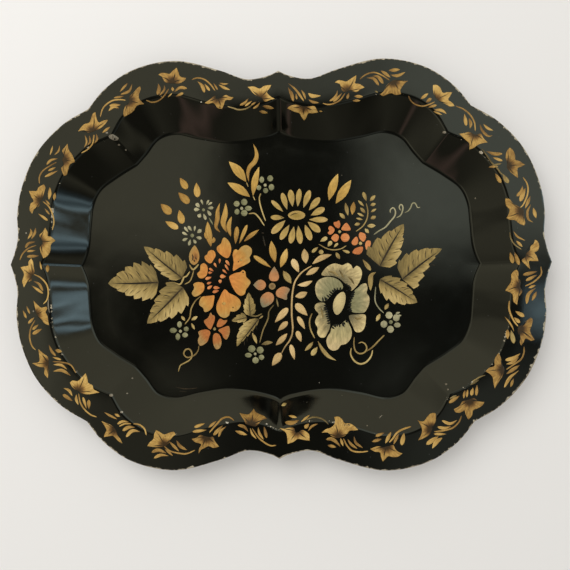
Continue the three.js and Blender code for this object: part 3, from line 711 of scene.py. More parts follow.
def spline(points, closed=False, step=1.2):
    """Points about a step apart on the centripetal Catmull-Rom curve through some points."""
    knots = [Vector(p) for p in points]
    count = len(knots)
    if closed:
        knot = lambda i: knots[i % count]
    else:
        ends = [2 * knots[0] - knots[1], *knots, 2 * knots[-1] - knots[-2]]
        knot = lambda i: ends[i + 1]
    line = []
    for i in range(count if closed else count - 1):
        p0, p1, p2, p3 = (knot(i + k) for k in (-1, 0, 1, 2))
        d0, d1, d2 = (max(math.sqrt((b - a).length), 1e-4) for a, b in ((p0, p1), (p1, p2), (p2, p3)))
        leave = ((p1 - p0) / d0 - (p2 - p0) / (d0 + d1) + (p2 - p1) / d1) * d1
        arrive = ((p2 - p1) / d1 - (p3 - p1) / (d1 + d2) + (p3 - p2) / d2) * d1
        parts = max(2, math.ceil((p2 - p1).length / step))
        for j in range(parts):
            t = j / parts
            t2, t3 = t * t, t * t * t
            line.append(p1 * (2 * t3 - 3 * t2 + 1) + leave * (t3 - 2 * t2 + t)
                        + p2 * (3 * t2 - 2 * t3) + arrive * (t3 - t2))
    if not closed:
        line.append(knots[-1])
    return line


def resampled(line, count):
    """count equal steps along a line."""
    lengths = [0.0]
    for a, b in zip(line, line[1:]):
        lengths.append(lengths[-1] + (b - a).length)
    points, k = [], 0
    for i in range(count + 1):
        want = lengths[-1] * i / count
        while k < len(line) - 2 and lengths[k + 1] < want:
            k += 1
        share = (want - lengths[k]) / max(lengths[k + 1] - lengths[k], 1e-9)
        points.append(line[k].lerp(line[k + 1], min(1.0, share)))
    return points


def ring(quarter):
    """A closed ring from one quarter of it, mirrored about X and Y."""
    long_side, short_side = (resampled(spline(side, step=1), RING_STEPS) for side in quarter)
    upper = long_side + short_side[1:]
    lower = [Vector((p.x, -p.y)) for p in reversed(upper)]
    right = upper + lower[1:]
    left = [Vector((-p.x, p.y)) for p in reversed(right)]
    return (right + left[1:-1])[::-1]


# ---- Materials -----------------------------------------------------------------------------


def node(tree, kind, inputs=None, **settings):
    """A shader node with its settings, and its inputs linked or set."""
    made = tree.nodes.new(kind)
    for key, value in settings.items():
        setattr(made, key, value)
    for key, value in (inputs or {}).items():
        if isinstance(value, bpy.types.NodeSocket):
            tree.links.new(value, made.inputs[key])
        else:
            made.inputs[key].default_value = value
    return made


def math_node(tree, operation, a, b=0.0, c=0.0, clamp=False):
    made = node(tree, "ShaderNodeMath", {0: a, 1: b, 2: c}, operation=operation, use_clamp=clamp)
    return made.outputs[0]


def ramp(tree, factor, stops):
    """A colour ramp from (place, colour) stops."""
    made = node(tree, "ShaderNodeValToRGB", {"Fac": factor})
    elements = made.color_ramp.elements
    while len(elements) < len(stops):
        elements.new(0.5)
    for element, (place, colour) in zip(elements, stops):
        element.position = place
        element.color = (*colour, 1)
    return made.outputs["Color"]


def eased(tree, value, low, high, most=1.0):
    """Rises smoothly from 0 at `low` to `most` at `high`."""
    made = node(tree, "ShaderNodeMapRange", {0: value, 1: low, 2: high, 3: 0.0, 4: most},
                interpolation_type="SMOOTHSTEP")
    return made.outputs[0]


def noise(tree, vector, scale, detail=2.0, rough=0.5):
    made = node(tree, "ShaderNodeTexNoise", {"Vector": vector, "Scale": scale, "Detail": detail,
                                            "Roughness": rough})
    return made.outputs["Fac"]


def mixed(tree, factor, a, b, blend="MIX"):
    made = node(tree, "ShaderNodeMix", {0: factor, 6: a, 7: b}, data_type="RGBA", blend_type=blend)
    return made.outputs[2]


def new_material(name):
    material = bpy.data.materials.new(name)
    material.use_nodes = True
    tree = material.node_tree
    tree.nodes.clear()
    shader = node(tree, "ShaderNodeBsdfPrincipled")
    output = node(tree, "ShaderNodeOutputMaterial")
    tree.links.new(shader.outputs[0], output.inputs[0])
    return material, tree, shader


def srgb(red, green, blue):
    """A display colour as the linear one that shaders use."""
    return tuple((c / 12.92 if c <= 0.04045 else ((c + 0.055) / 1.055) ** 2.4)
                 for c in (red / 255, green / 255, blue / 255))


# Each paint: its shaded, middle and bright colours, and the material that it is on the record.
PAINTS = {
    "gold": (srgb(146, 106, 46), srgb(188, 148, 72), srgb(222, 186, 112), "gold_paint"),
    "ochre": (srgb(130, 106, 58), srgb(178, 154, 92), srgb(212, 190, 130), "gold_paint"),
    "bronze": (srgb(116, 82, 36), srgb(174, 136, 68), srgb(214, 178, 102), "gold_paint"),
    "coral": (srgb(168, 90, 46), srgb(204, 126, 68), srgb(226, 158, 100), "rose_paint"),
    "cream": (srgb(172, 142, 92), srgb(208, 176, 118), srgb(238, 214, 166), "cream_paint"),
    "pale": (srgb(134, 130, 98), srgb(168, 161, 124), srgb(204, 194, 152), "cream_paint"),
    "sage": (srgb(98, 98, 68), srgb(136, 133, 94), srgb(170, 166, 128), "stone_paint"),
    "olive": (srgb(84, 70, 38), srgb(138, 118, 70), srgb(184, 160, 104), "olive_paint"),
    "umber": (srgb(24, 18, 10), srgb(40, 30, 18), srgb(70, 54, 32), "olive_paint"),
    "black": (srgb(5, 5, 4), srgb(8, 8, 6), srgb(14, 13, 10), "black_lacquer"),
    "metal": (srgb(84, 74, 58), srgb(138, 130, 112), srgb(196, 190, 176), "black_lacquer"),
    "white": (srgb(150, 146, 128), srgb(190, 184, 164), srgb(226, 222, 206), "stone_paint"),
}


def finish_paint(tree, shader, colour, streak, grain):
    """Satin brush paint: streaks from the bristles, and a fine grain."""
    relief = math_node(tree, "MULTIPLY_ADD", streak, 0.7, math_node(tree, "MULTIPLY", grain, 0.3))
    bump = node(tree, "ShaderNodeBump", {"Strength": 0.35, "Distance": PAINT_RELIEF, "Height": relief})
    rough = node(tree, "ShaderNodeMapRange", {0: streak, 1: 0.2, 2: 0.8, 3: 0.34, 4: 0.52})
    tree.links.new(colour, shader.inputs["Base Color"])
    tree.links.new(rough.outputs[0], shader.inputs["Roughness"])
    tree.links.new(bump.outputs[0], shader.inputs["Normal"])
    shader.inputs["Specular IOR Level"].default_value = SATIN


def brush_material(name):
    """The paint of the marks made here, which know their place along and across the mark."""
    dark, middle, light, _ = PAINTS[name]
    material, tree, shader = new_material(name + "_brush_paint")
    place = node(tree, "ShaderNodeUVMap", uv_map="mark")
    tone = node(tree, "ShaderNodeAttribute", attribute_name="tone")
    split = node(tree, "ShaderNodeSeparateXYZ", {0: place.outputs[0]})
    along, across = split.outputs[0], split.outputs[1]
    shifted = math_node(tree, "MULTIPLY_ADD", tone.outputs["Fac"], 37.0, across)
    hairs_at = node(tree, "ShaderNodeCombineXYZ", {0: math_node(tree, "MULTIPLY", along, 0.06),
                                                  1: shifted})
    streak = noise(tree, hairs_at.outputs[0], 1.6, 3.0, 0.6)
    position = node(tree, "ShaderNodeTexCoord").outputs["Object"]
    grain = noise(tree, position, 900.0, 2.0)
    value = math_node(tree, "MULTIPLY_ADD", streak, 0.85, math_node(tree, "MULTIPLY", grain, 0.25))
    value = math_node(tree, "MULTIPLY_ADD", tone.outputs["Fac"], 0.24, math_node(
        tree, "SUBTRACT", value, 0.17))
    shade = node(tree, "ShaderNodeAttribute", attribute_name="shade").outputs["Fac"]
    deep = tuple(0.22 * part for part in dark)
    colour = ramp(tree, math_node(tree, "ADD", value, shade), [
        (0.0, deep), (0.26, dark), (0.5, middle), (0.74, light)])
    finish_paint(tree, shader, colour, streak, grain)
    return material


BRUSHES = {}


def brush(name):
    """A paint's material, made once."""
    if name not in BRUSHES:
        BRUSHES[name] = brush_material(name)
    return BRUSHES[name]


def lacquer_material():
    """Old black lacquer: nearly black, wavy and glossy, with rubbed patches, hair scratches,
    specks of dust, and brown metal showing along the rim and the bend."""
    material, tree, shader = new_material("black_lacquer")
    position = node(tree, "ShaderNodeTexCoord").outputs["Object"]
    cloud = noise(tree, position, 9.0, 4.0, 0.55)
    haze = noise(tree, position, 42.0, 5.0, 0.65)
    peel = noise(tree, position, 700.0, 2.0)
    fine = noise(tree, position, 160.0, 5.0, 0.7)

    black = ramp(tree, cloud, [(0.3, srgb(5, 5, 4)), (0.7, srgb(9, 9, 6))])
    specks = node(tree, "ShaderNodeTexVoronoi", {"Vector": position, "Scale": 85.0})
    dust = ramp(tree, specks.outputs["Distance"], [(0.02, (0.06,) * 3), (0.04, (0.0,) * 3)])
    stretched = node(tree, "ShaderNodeMapping", {"Vector": position, "Rotation": (0, 0, 0.6),
                                                "Scale": (1.0, 14.0, 1.0)})
    hairs = noise(tree, stretched.outputs[0], 30.0, 6.0, 0.75)
    scratch = ramp(tree, hairs, [(0.70, (0.0,) * 3), (0.76, (0.035,) * 3)])
    body = mixed(tree, 1.0, mixed(tree, 1.0, black, dust, "ADD"), scratch, "ADD")

    rim = node(tree, "ShaderNodeAttribute", attribute_name="rim_wear").outputs["Fac"]
    bend = node(tree, "ShaderNodeAttribute", attribute_name="bend_wear").outputs["Fac"]
    patchy = math_node(tree, "MULTIPLY_ADD", fine, 0.6, math_node(tree, "MULTIPLY", haze, 0.4))
    stretches = eased(tree, cloud, 0.44, 0.6, 0.05)
    nicked = math_node(tree, "ADD", math_node(tree, "MULTIPLY_ADD", rim, 0.42, patchy), stretches)
    rim_worn = math_node(tree, "GREATER_THAN", nicked, 0.9)
    chipped = math_node(tree, "ADD", math_node(tree, "MULTIPLY_ADD", bend, 0.16, patchy), stretches)
    bend_worn = math_node(tree, "GREATER_THAN", chipped, 0.765)
    metal = ramp(tree, fine, [(0.35, srgb(96, 80, 58)), (0.65, srgb(176, 166, 142))])
    worn = math_node(tree, "MAXIMUM", rim_worn, bend_worn)
    colour = mixed(tree, worn, body, metal)

    rough = node(tree, "ShaderNodeMapRange", {0: haze, 1: 0.3, 2: 0.7, 3: 0.05, 4: 0.12})
    rough = math_node(tree, "MULTIPLY_ADD", worn, 0.35, rough.outputs[0])
    wave = noise(tree, position, 16.0, 2.0, 0.4)
    wavy = node(tree, "ShaderNodeBump", {"Strength": 0.3, "Distance": LACQUER_WAVE, "Height": wave})
    peeled = node(tree, "ShaderNodeBump", {"Strength": 0.12, "Distance": LACQUER_PEEL, "Height": peel,
                                          "Normal": wavy.outputs[0]})
    tree.links.new(colour, shader.inputs["Base Color"])
    tree.links.new(rough, shader.inputs["Roughness"])
    tree.links.new(peeled.outputs[0], shader.inputs["Normal"])
    shader.inputs["Specular IOR Level"].default_value = 0.5
    return material


# ---- The tray ------------------------------------------------------------------------------


def bezier(a, b, c, parts):
    """Points along the curve from a to c that leaves and arrives in the direction of b."""
    return [a.lerp(b, i / parts).lerp(b.lerp(c, i / parts), i / parts) for i in range(parts + 1)]


def section(rim, bend, foot):
    """The upper face from the rim in to the flat floor, with its wear at the rim and bend."""
    corner = Vector((bend.x, bend.y, FLANGE))
    heel = Vector((foot.x, foot.y, SHEET))
    outward = (rim - bend).normalized().to_3d() * BEND_RUN
    inward = (foot - bend).normalized().to_3d() * BEND_RUN
    down = (heel - corner).normalized() * BEND_RUN
    edge = Vector((rim.x, rim.y, FLANGE)) - outward * (LIP / BEND_RUN)
    flange_end = corner + outward
    flange = [edge.lerp(flange_end, (i / FLANGE_STEPS) ** 2) for i in range(FLANGE_STEPS)]
    upper = bezier(flange_end, corner, corner + down, BEND_STEPS)
    wall_top, wall_foot = upper[-1], heel - down
    wall = [wall_top.lerp(wall_foot, i / WALL_STEPS) for i in range(1, WALL_STEPS)]
    lower = bezier(wall_foot, heel, heel + inward, BEND_STEPS)
    points = flange + upper + wall + lower
    rim_wear = [1.0, 0.72, 0.1] + [0.0] * (len(points) - 3)
    bend_wear = [0.0] * len(points)
    for i in range(BEND_STEPS + 1):
        bend_wear[FLANGE_STEPS + i] = math.sin(math.pi * i / BEND_STEPS)
    return points, rim_wear, bend_wear


def tray_sheet():
    """The pressing as a closed sheet with rounded bends and a rounded cut edge."""
    sections = [section(*places) for places in zip(ring(RIM), ring(FLANGE_BEND), ring(FLOOR_BEND))]
    around = len(sections)
    stations = len(sections[0][0])
    verts, rim_wear, bend_wear = [], [], []

    def normal_at(i, k):
        if k < FLANGE_STEPS or k >= stations - 1:
            return Vector((0, 0, 1))
        along = sections[(i + 1) % around][0][k] - sections[i - 1][0][k]
        inwards = sections[i][0][k + 1] - sections[i][0][k - 1]
        return along.cross(inwards).normalized()

    for side in (0, 1):
        for i, (points, rim, bend) in enumerate(sections):
            for k, point in enumerate(points):
                verts.append(point - normal_at(i, k) * (SHEET * side))
                rim_wear.append(rim[k])
                bend_wear.append(bend[k])
    faces = []
    index = lambda side, i, k: side * around * stations + (i % around) * stations + k
    for i in range(around):
        for k in range(stations - 1):
            faces.append((index(0, i, k), index(0, i + 1, k), index(0, i + 1, k + 1), index(0, i, k + 1)))
            faces.append((index(1, i, k), index(1, i, k + 1), index(1, i + 1, k + 1), index(1, i + 1, k)))

    # The rounded cut edge joins the two faces at the rim.
    edge = len(verts)
    for points, _, _ in sections:
        out = (points[0] - points[1]).normalized() * LIP
        for depth in (LIP, SHEET - LIP):
            verts.append(points[0] + out - Vector((0, 0, depth)))
            rim_wear.append(1.3)
            bend_wear.append(0.0)
    for i in range(around):
        j = (i + 1) % around
        a, b = edge + 2 * i, edge + 2 * j
        faces.append((index(0, i, 0), a, b, index(0, j, 0)))
        faces.append((a, a + 1, b + 1, b))
        faces.append((a + 1, index(1, i, 0), index(1, j, 0), b + 1))

    # The flat floor, in rings down to a point on each face.
    for side in (0, 1):
        previous = [index(side, i, stations - 1) for i in range(around)]
        height = SHEET * (1 - side)
        for r in range(1, FLOOR_RINGS + 1):
            share = 1 - r / FLOOR_RINGS
            if share == 0:
                verts.append(Vector((0, 0, height)))
                current = [len(verts) - 1] * around
            else:
                current = []
                for points, _, _ in sections:
                    verts.append(Vector((points[-1].x * share, points[-1].y * share, height)))
                    current.append(len(verts) - 1)
            for i in range(around):
                j = (i + 1) % around
                face = [previous[i], previous[j], current[j], current[i]]
                face = list(dict.fromkeys(face))
                faces.append(tuple(face if side == 0 else reversed(face)))
            previous = current
    wear_pad = [0.0] * (len(verts) - len(rim_wear))
    low, high = CAD_LOW / MM, CAD_HIGH / MM
    verts = [Vector(min(max(v[a], low[a]), high[a]) for a in range(3)) for v in verts]
    return verts, faces, rim_wear + wear_pad, bend_wear + wear_pad


def make_mesh(name, verts, faces, attributes, materials, face_slots=None, uvs=None):
    mesh = bpy.data.meshes.new(name)
    mesh.from_pydata([tuple(v * MM) for v in verts], [], faces)
    for material in materials:
        mesh.materials.append(material)
    if face_slots:
        mesh.polygons.foreach_set("material_index", face_slots)
    for key, values in attributes.items():
        mesh.attributes.new(key, "FLOAT", "POINT").data.foreach_set("value", values)
    if uvs:
        layer = mesh.uv_layers.new(name="mark")
        layer.data.foreach_set("uv", [c for loop in mesh.loops for c in uvs[loop.vertex_index]])
    mesh.polygons.foreach_set("use_smooth", [True] * len(mesh.polygons))
    mesh.update()
    made = bpy.data.objects.new(name, mesh)
    bpy.context.scene.collection.objects.link(made)
    return made


# ---- Brush marks ---------------------------------------------------------------------------

SHEET_VERTS, SHEET_FACES, RIM_WEAR, BEND_WEAR = tray_sheet()
SURFACE = BVHTree.FromPolygons(SHEET_VERTS, SHEET_FACES)
DROP = Vector((0, 0, -1))


def on_floor(point, lift):
    """A point of the plan dropped straight on to the tray."""
    hit, normal, _, _ = SURFACE.ray_cast(Vector((point.x, point.y, FLANGE + 50)), DROP)
    return hit + normal * lift


def on_border(point, lift):
    """A point of the flange's plane, carried over the bend along the line from EYE."""
    through = Vector((point.x, point.y, FLANGE))
    hit, normal, _, _ = SURFACE.ray_cast(EYE, (through - EYE).normalized())
    if hit is None:
        return through
    return hit + normal * lift


PROFILE = ((-1, 0.0), (-0.6, 0.75), (0, 1.0), (0.6, 0.75), (1, 0.0))  # across a mark, and its height
ENDS = {  # where a mark is widest, and the powers that shape its two ends
    "dab": (0.64, 0.9, 0.5),
    "sliver": (0.5, 0.85, 0.85),
    "line": (0.5, 0.22, 0.22),
    "oval": (0.5, 0.5, 0.5),
}


def drawing_rows(text):
    """The words of each mark, with the rows that go on from it joined to it."""
    rows = []
    for line in text.split("\n"):
        words = line.split()
        if words and words[0][0] in "-0123456789":
            rows[-1] += words
        elif words:
            rows.append(words)
    return rows


class Painting:
    """Gathers the brush marks of one piece, and makes them one object."""

    def __init__(self, name, lay):
        self.name, self.lay = name, lay
        self.verts, self.faces, self.slots, self.uvs = [], [], [], []
        self.tones, self.shades = [], []
        self.paints = []

    def _slot(self, paint):
        if paint not in self.paints:
            self.paints.append(paint)
        return self.paints.index(paint)

    def _add(self, verts, uvs, faces, paint, shades):
        base, tone = len(self.verts), random.random()
        self.verts += verts
        self.uvs += uvs
        self.tones += [tone] * len(verts)
        self.shades += shades
        self.faces += [tuple(base + i for i in face) for face in faces]
        self.slots += [self._slot(paint)] * len(faces)

    def stroke(self, paint, kind, width, points, level=0.0):
        """A ribbon of paint through some points."""
        line = spline(points) if len(points) > 1 else points
        total = sum((b - a).length for a, b in zip(line, line[1:]))
        line = resampled(line, max(7, math.ceil(total / STEP_ALONG)))
        peak, start, end = ENDS[kind]
        last = len(line) - 1
        verts, uvs, shades = [], [], []
        for i, centre in enumerate(line):
            s = i / last
            grow = math.sin(0.5 * math.pi * s / peak) ** start if s < peak else max(
                0.0, math.cos(0.5 * math.pi * (s - peak) / (1 - peak))) ** end
            half = max(0.5 * width * grow, LEAST_HALF)
            heading = line[min(i + 1, last)] - line[max(i - 1, 0)]
            side = Vector((-heading.y, heading.x)).normalized() * half
            height = BRUSH_HEIGHT * min(1.0, half / FULL_HALF)
            for v, rise in PROFILE:
                verts.append(self.lay(centre + side * v, level + EDGE_LIFT + height * rise))
                uvs.append((s * total, v * half))
            for v in (1, -1):
                verts.append(self.lay(centre + side * v, level - SUNK))
                uvs.append((s * total, v * half))
            shades += [START_SHADE * (1 - s) ** 2] * (len(PROFILE) + 2)
        self._add(verts, uvs, tube_faces(len(line), len(PROFILE) + 2), paint, shades)

    def patch(self, paint, outline, base, level=0.0, heart=0.0, grid=2.4):
        """A flat-brushed shape inside an outline, with a rounded edge."""
        outline = [Vector(p) for p in outline]
        inner = inside_points(outline, grid)
        rim = offset_points(outline, EDGE_ROUND)
        flat, _, triangles, _, _, _ = delaunay_2d_cdt(
            outline + rim + inner, [], [list(range(len(outline)))], 1, 1e-5)
        boundary = boundary_edges(triangles)
        on_edge = {i for edge in boundary for i in edge}
        count = len(flat)
        verts = [self.lay(p, level + (EDGE_LIFT if i in on_edge else BRUSH_HEIGHT))
                 for i, p in enumerate(flat)]
        verts += [self.lay(p, level - SUNK) for p in flat]
        uvs = [((p - base).length, 6 * math.atan2(p.y - base.y, p.x - base.x)) for p in flat] * 2
        faces = [tuple(t) for t in triangles]
        faces += [tuple(count + i for i in reversed(t)) for t in triangles]
        faces += [(b, a, count + a, count + b) for a, b in boundary]
        shades = [heart * max(0.0, 1 - (p - base).length / HEART_REACH) for p in flat] * 2
        self._add(verts, uvs, faces, paint, shades)

    def draw(self, text, level=0.0):
        """Makes the marks of a drawing."""
        for words in drawing_rows(text):
            if words[0] == "leaf":
                self.leaf(words[1:])
                continue
            if words[0] not in PAINTS:
                words.insert(0, BORDER_PAINT)
            paint, kind, width = words[:3]
            points = [Vector(map(float, w.split(","))) for w in words[3:]]
            if kind == "blob":
                outline = spline(points, closed=True, step=1.5)
                self.patch(paint, anticlockwise(outline), sum(points, Vector((0, 0))) / len(points), level)
            elif kind == "fringe":
                self.fringe(paint, float(width), points, level)
            elif kind == "oval":
                across, up = map(float, width.split(","))
                half = Vector((0, up)) if up > across else Vector((across, 0))
                self.stroke(paint, kind, 2 * min(across, up), [points[0] - half, points[0] + half], level)
            else:
                self.stroke(paint, kind, float(width), points, level)

    def fringe(self, paint, length, points, level):
        """Teeth of paint on the left of a path, pointing away from it."""
        line = spline(points)
        total = sum((b - a).length for a, b in zip(line, line[1:]))
        line = resampled(line, max(3, round(total / FRINGE_STEP)))
        for here, after in zip(line, line[1:]):
            left = Vector((here.y - after.y, after.x - here.x)).normalized()
            middle = here.lerp(after, random.uniform(0.3, 0.7))
            tip = middle + left * length * random.uniform(0.6, 1.2)
            self.stroke(paint, "dab", random.uniform(1.7, 2.6), [tip, middle - left], level)

    def leaf(self, words):
        """A lobed leaf: its body, its shaded base and a vein into each lobe."""
        base = Vector(map(float, words[0].split(",")))
        corners = [Vector(map(float, w.rstrip("*").split(","))) for w in words[1:]]
        tips = [i for i, w in enumerate(words[1:]) if w.endswith("*")]
        outline = []
        for a, b in zip(tips, tips[1:] + tips[:1]):
            side = corners[a:b + 1] if b > a else corners[a:] + corners[:b + 1]
            outline += spline(side, step=1.6)[:-1]
        self.patch(BORDER_PAINT, anticlockwise(outline), base, heart=LEAF_HEART)
        for i in tips:
            tip = corners[i]
            middle = base.lerp(tip, 0.45) + Vector((random.uniform(-1, 1), random.uniform(-1, 1))) * 0.5
            vein = [base.lerp(tip, 0.12), middle, base.lerp(tip, random.uniform(0.62, 0.8))]
            self.stroke("black", "sliver", random.uniform(0.9, 1.3), vein, 0.1)

    def finish(self):
        made = make_mesh(self.name, self.verts, self.faces, {"tone": self.tones, "shade": self.shades},
                         [brush(p) for p in self.paints], self.slots, self.uvs)
        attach(made, "root")


def tube_faces(rings, sides):
    """Quads round a tube of cross sections, and a face on each end."""
    faces = []
    for i in range(rings - 1):
        for k in range(sides):
            a, b = i * sides + k, i * sides + (k + 1) % sides
            faces.append((a, a + sides, b + sides, b))
    faces.append(tuple(range(sides)))
    faces.append(tuple(reversed(range((rings - 1) * sides, rings * sides))))
    return faces


def anticlockwise(outline):
    """The same outline, running anticlockwise."""
    area = sum(a.x * b.y - b.x * a.y for a, b in zip(outline, outline[1:] + outline[:1]))
    return outline if area > 0 else outline[::-1]


def is_inside(point, outline):
    """Whether an outline runs round a point."""
    hit = False
    for a, b in zip(outline, outline[1:] + outline[:1]):
        if (a.y > point.y) != (b.y > point.y):
            if point.x < a.x + (point.y - a.y) * (b.x - a.x) / (b.y - a.y):
                hit = not hit
    return hit


def clearance(point, outline):
    """How far a point is from an outline."""
    best = 1e9
    for a, b in zip(outline, outline[1:] + outline[:1]):
        along = b - a
        t = max(0.0, min(1.0, (point - a).dot(along) / max(along.length_squared, 1e-9)))
        best = min(best, (point - a - along * t).length)
    return best


def inside_points(outline, grid):
    """A staggered grid of points well inside an outline."""
    low_x, high_x = min(p.x for p in outline), max(p.x for p in outline)
    low_y, high_y = min(p.y for p in outline), max(p.y for p in outline)
    found = []
    for row in range(math.ceil((high_y - low_y) / grid)):
        for column in range(math.ceil((high_x - low_x) / grid) + 1):
            point = Vector((low_x + (column + 0.5 * (row % 2)) * grid, low_y + (row + 0.5) * grid))
            if is_inside(point, outline) and clearance(point, outline) > 0.45 * grid:
                found.append(point)
    return found


def offset_points(outline, inset):
    """Points just inside the edge, which round it off."""
    found = []
    for before, here, after in zip(outline[-1:] + outline[:-1], outline, outline[1:] + outline[:1]):
        heading = (after - before).normalized()
        point = here + Vector((-heading.y, heading.x)) * inset
        if is_inside(point, outline) and clearance(point, outline) > 0.7 * inset:
            found.append(point)
    return found


def boundary_edges(triangles):
    """The edges that only one triangle has, each in that triangle's own direction."""
    edges = {}
    for t in triangles:
        for a, b in ((t[0], t[1]), (t[1], t[2]), (t[2], t[0])):
            if (b, a) in edges:
                del edges[(b, a)]
            else:
                edges[(a, b)] = True
    return list(edges)


# ---- Putting it together -------------------------------------------------------------------

sheet = make_mesh("tray_sheet", SHEET_VERTS, SHEET_FACES,
                  {"rim_wear": RIM_WEAR, "bend_wear": BEND_WEAR}, [lacquer_material()])
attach(sheet, "root")
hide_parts("tray_pressing")

for name, text in BOUQUET.items():
    painting = Painting(name, on_floor)
    painting.draw(text)
    painting.finish()
for pieces, lay, level in ((OVERLAYS, on_floor, FILM_TOP), (FLOOR_KNOCKS, on_floor, KNOCK),
                           (BEND_KNOCKS, on_border, KNOCK)):
    for name, text in pieces.items():
        painting = Painting(name, lay)
        painting.draw(text, level)
        painting.finish()
for number, text in enumerate(BORDER, 1):
    painting = Painting(f"border_spray_{number:02d}", on_border)
    painting.draw(text)
    painting.finish()


def place_from(tree, centre, size, turn=0.0):
    """The place on the tray seen from `centre`, in units of `size`, along axes turned by `turn`."""
    position = node(tree, "ShaderNodeTexCoord").outputs["Object"]
    made = node(tree, "ShaderNodeMapping", {
        "Vector": position, "Location": (centre[0] * MM, centre[1] * MM, 0),
        "Rotation": (0, 0, turn), "Scale": (size[0] * MM, size[1] * MM, 1)}, vector_type="TEXTURE")
    split = node(tree, "ShaderNodeSeparateXYZ", {0: made.outputs[0]})
    return made.outputs[0], split.outputs[0], split.outputs[1]


def film_finish(tree, shader, shade, stops, hairs_at):
    """Colours a film by its shade, broken up by the brush's hairs, with a painted highlight along their
    ridges and painted shade between them.
    """
    streak = noise(tree, hairs_at, 1.0, 4.0, 0.62)
    grain = noise(tree, node(tree, "ShaderNodeTexCoord").outputs["Object"], 900.0, 2.0)
    shifted = math_node(tree, "ADD", shade, math_node(tree, "MULTIPLY_ADD", streak, 0.5, -0.25))
    colour = ramp(tree, shifted, [(at, srgb(*rgb)) for at, rgb in stops])
    # Painted highlight and shade: the colour is lighter where the streak relief is high and darker where it
    # is low.
    lit = ramp(tree, streak, [(0.3, (0.80, 0.78, 0.72)), (0.5, (1.0, 1.0, 1.0)), (0.72, (1.28, 1.26, 1.18))])
    finish_paint(tree, shader, mixed(tree, 1.0, colour, lit, "MULTIPLY"), streak, grain)


def round_film(name, centre, radii, stops):
    """A petal shaded outwards from its flower's middle, with the brush's hairs running out too."""
    material, tree, shader = new_material(name)
    place, x, y = place_from(tree, centre, radii)
    shade = node(tree, "ShaderNodeVectorMath", {0: place}, operation="LENGTH").outputs["Value"]
    turn = math_node(tree, "ARCTAN2", y, x)
    hairs_at = node(tree, "ShaderNodeCombineXYZ", {
        0: math_node(tree, "MULTIPLY", turn, 9.0), 1: math_node(tree, "MULTIPLY", shade, 4.0)})
    film_finish(tree, shader, shade, stops, hairs_at.outputs[0])
    return material


def leaf_film(name, base, tip, width, stops):
    """A leaf shaded from one side of its midrib to the other, darker along it and at its base,
    with the brush's hairs running out and forward from it."""
    base, along = Vector(base), Vector(tip) - Vector(base)
    material, tree, shader = new_material(name)
    _, s, across = place_from(tree, base, (along.length, width), math.atan2(along.y, along.x))
    out = math_node(tree, "ABSOLUTE", across)
    hairs_at = node(tree, "ShaderNodeCombineXYZ", {
        0: math_node(tree, "MULTIPLY_ADD", s, 16.0, math_node(tree, "MULTIPLY", out, -5.0)),
        1: math_node(tree, "MULTIPLY", across, 1.6)})
    foot = math_node(tree, "MULTIPLY", math_node(tree, "SUBTRACT", 0.55, s, clamp=True), 0.5)
    rib = math_node(tree, "MULTIPLY", math_node(tree, "SUBTRACT", 0.3, out, clamp=True), 0.7)
    side = math_node(tree, "MULTIPLY_ADD", across, 0.28, 0.55)
    edge = math_node(tree, "MULTIPLY_ADD", out, 0.22, side)
    shade = math_node(tree, "SUBTRACT", edge, math_node(tree, "ADD", foot, rib))
    film_finish(tree, shader, shade, stops, hairs_at.outputs[0])
    return material


# Films shaded outwards: the flower's middle, its radii, colours from there out, and their slot.
ORANGE = [(0.3, (204, 130, 60)), (0.62, (198, 132, 60)), (0.85, (190, 138, 64)), (1.0, (176, 140, 76))]
STAR = [(0.2, (178, 110, 54)), (0.6, (174, 104, 50)), (0.85, (166, 110, 56)), (1.0, (162, 128, 76))]
ROSE = [(0.25, (188, 128, 80)), (0.6, (178, 124, 78)), (0.82, (152, 120, 84)), (1.0, (122, 116, 88))]
GREY = [(0.3, (122, 118, 82)), (0.6, (136, 131, 94)), (0.8, (158, 147, 106)), (0.98, (192, 172, 126))]
BLUSH = [(0.34, (84, 78, 56)), (0.54, (124, 115, 82)), (0.76, (170, 152, 106)), (0.98, (208, 188, 134))]
CROWN = [(0.1, (88, 80, 56)), (0.4, (124, 113, 80)), (0.72, (174, 155, 108)), (1.0, (206, 186, 132))]
FOOT = [(0.35, (146, 138, 98)), (0.7, (172, 158, 110)), (0.98, (196, 174, 126))]
DAISY = [(0.3, (148, 130, 82)), (0.55, (168, 140, 78)), (0.8, (176, 147, 80)), (1.0, (184, 154, 94))]
PLAIN = [(0.0, (160, 126, 60)), (0.5, (184, 146, 70)), (1.0, (204, 168, 92))]
BUD = [(0.1, (128, 84, 42)), (0.4, (170, 122, 60)), (0.8, (166, 132, 72)), (1.0, (150, 120, 66))]
EYE_GREEN = [(0.2, (112, 86, 50)), (0.6, (140, 112, 70)), (1.0, (150, 128, 86))]
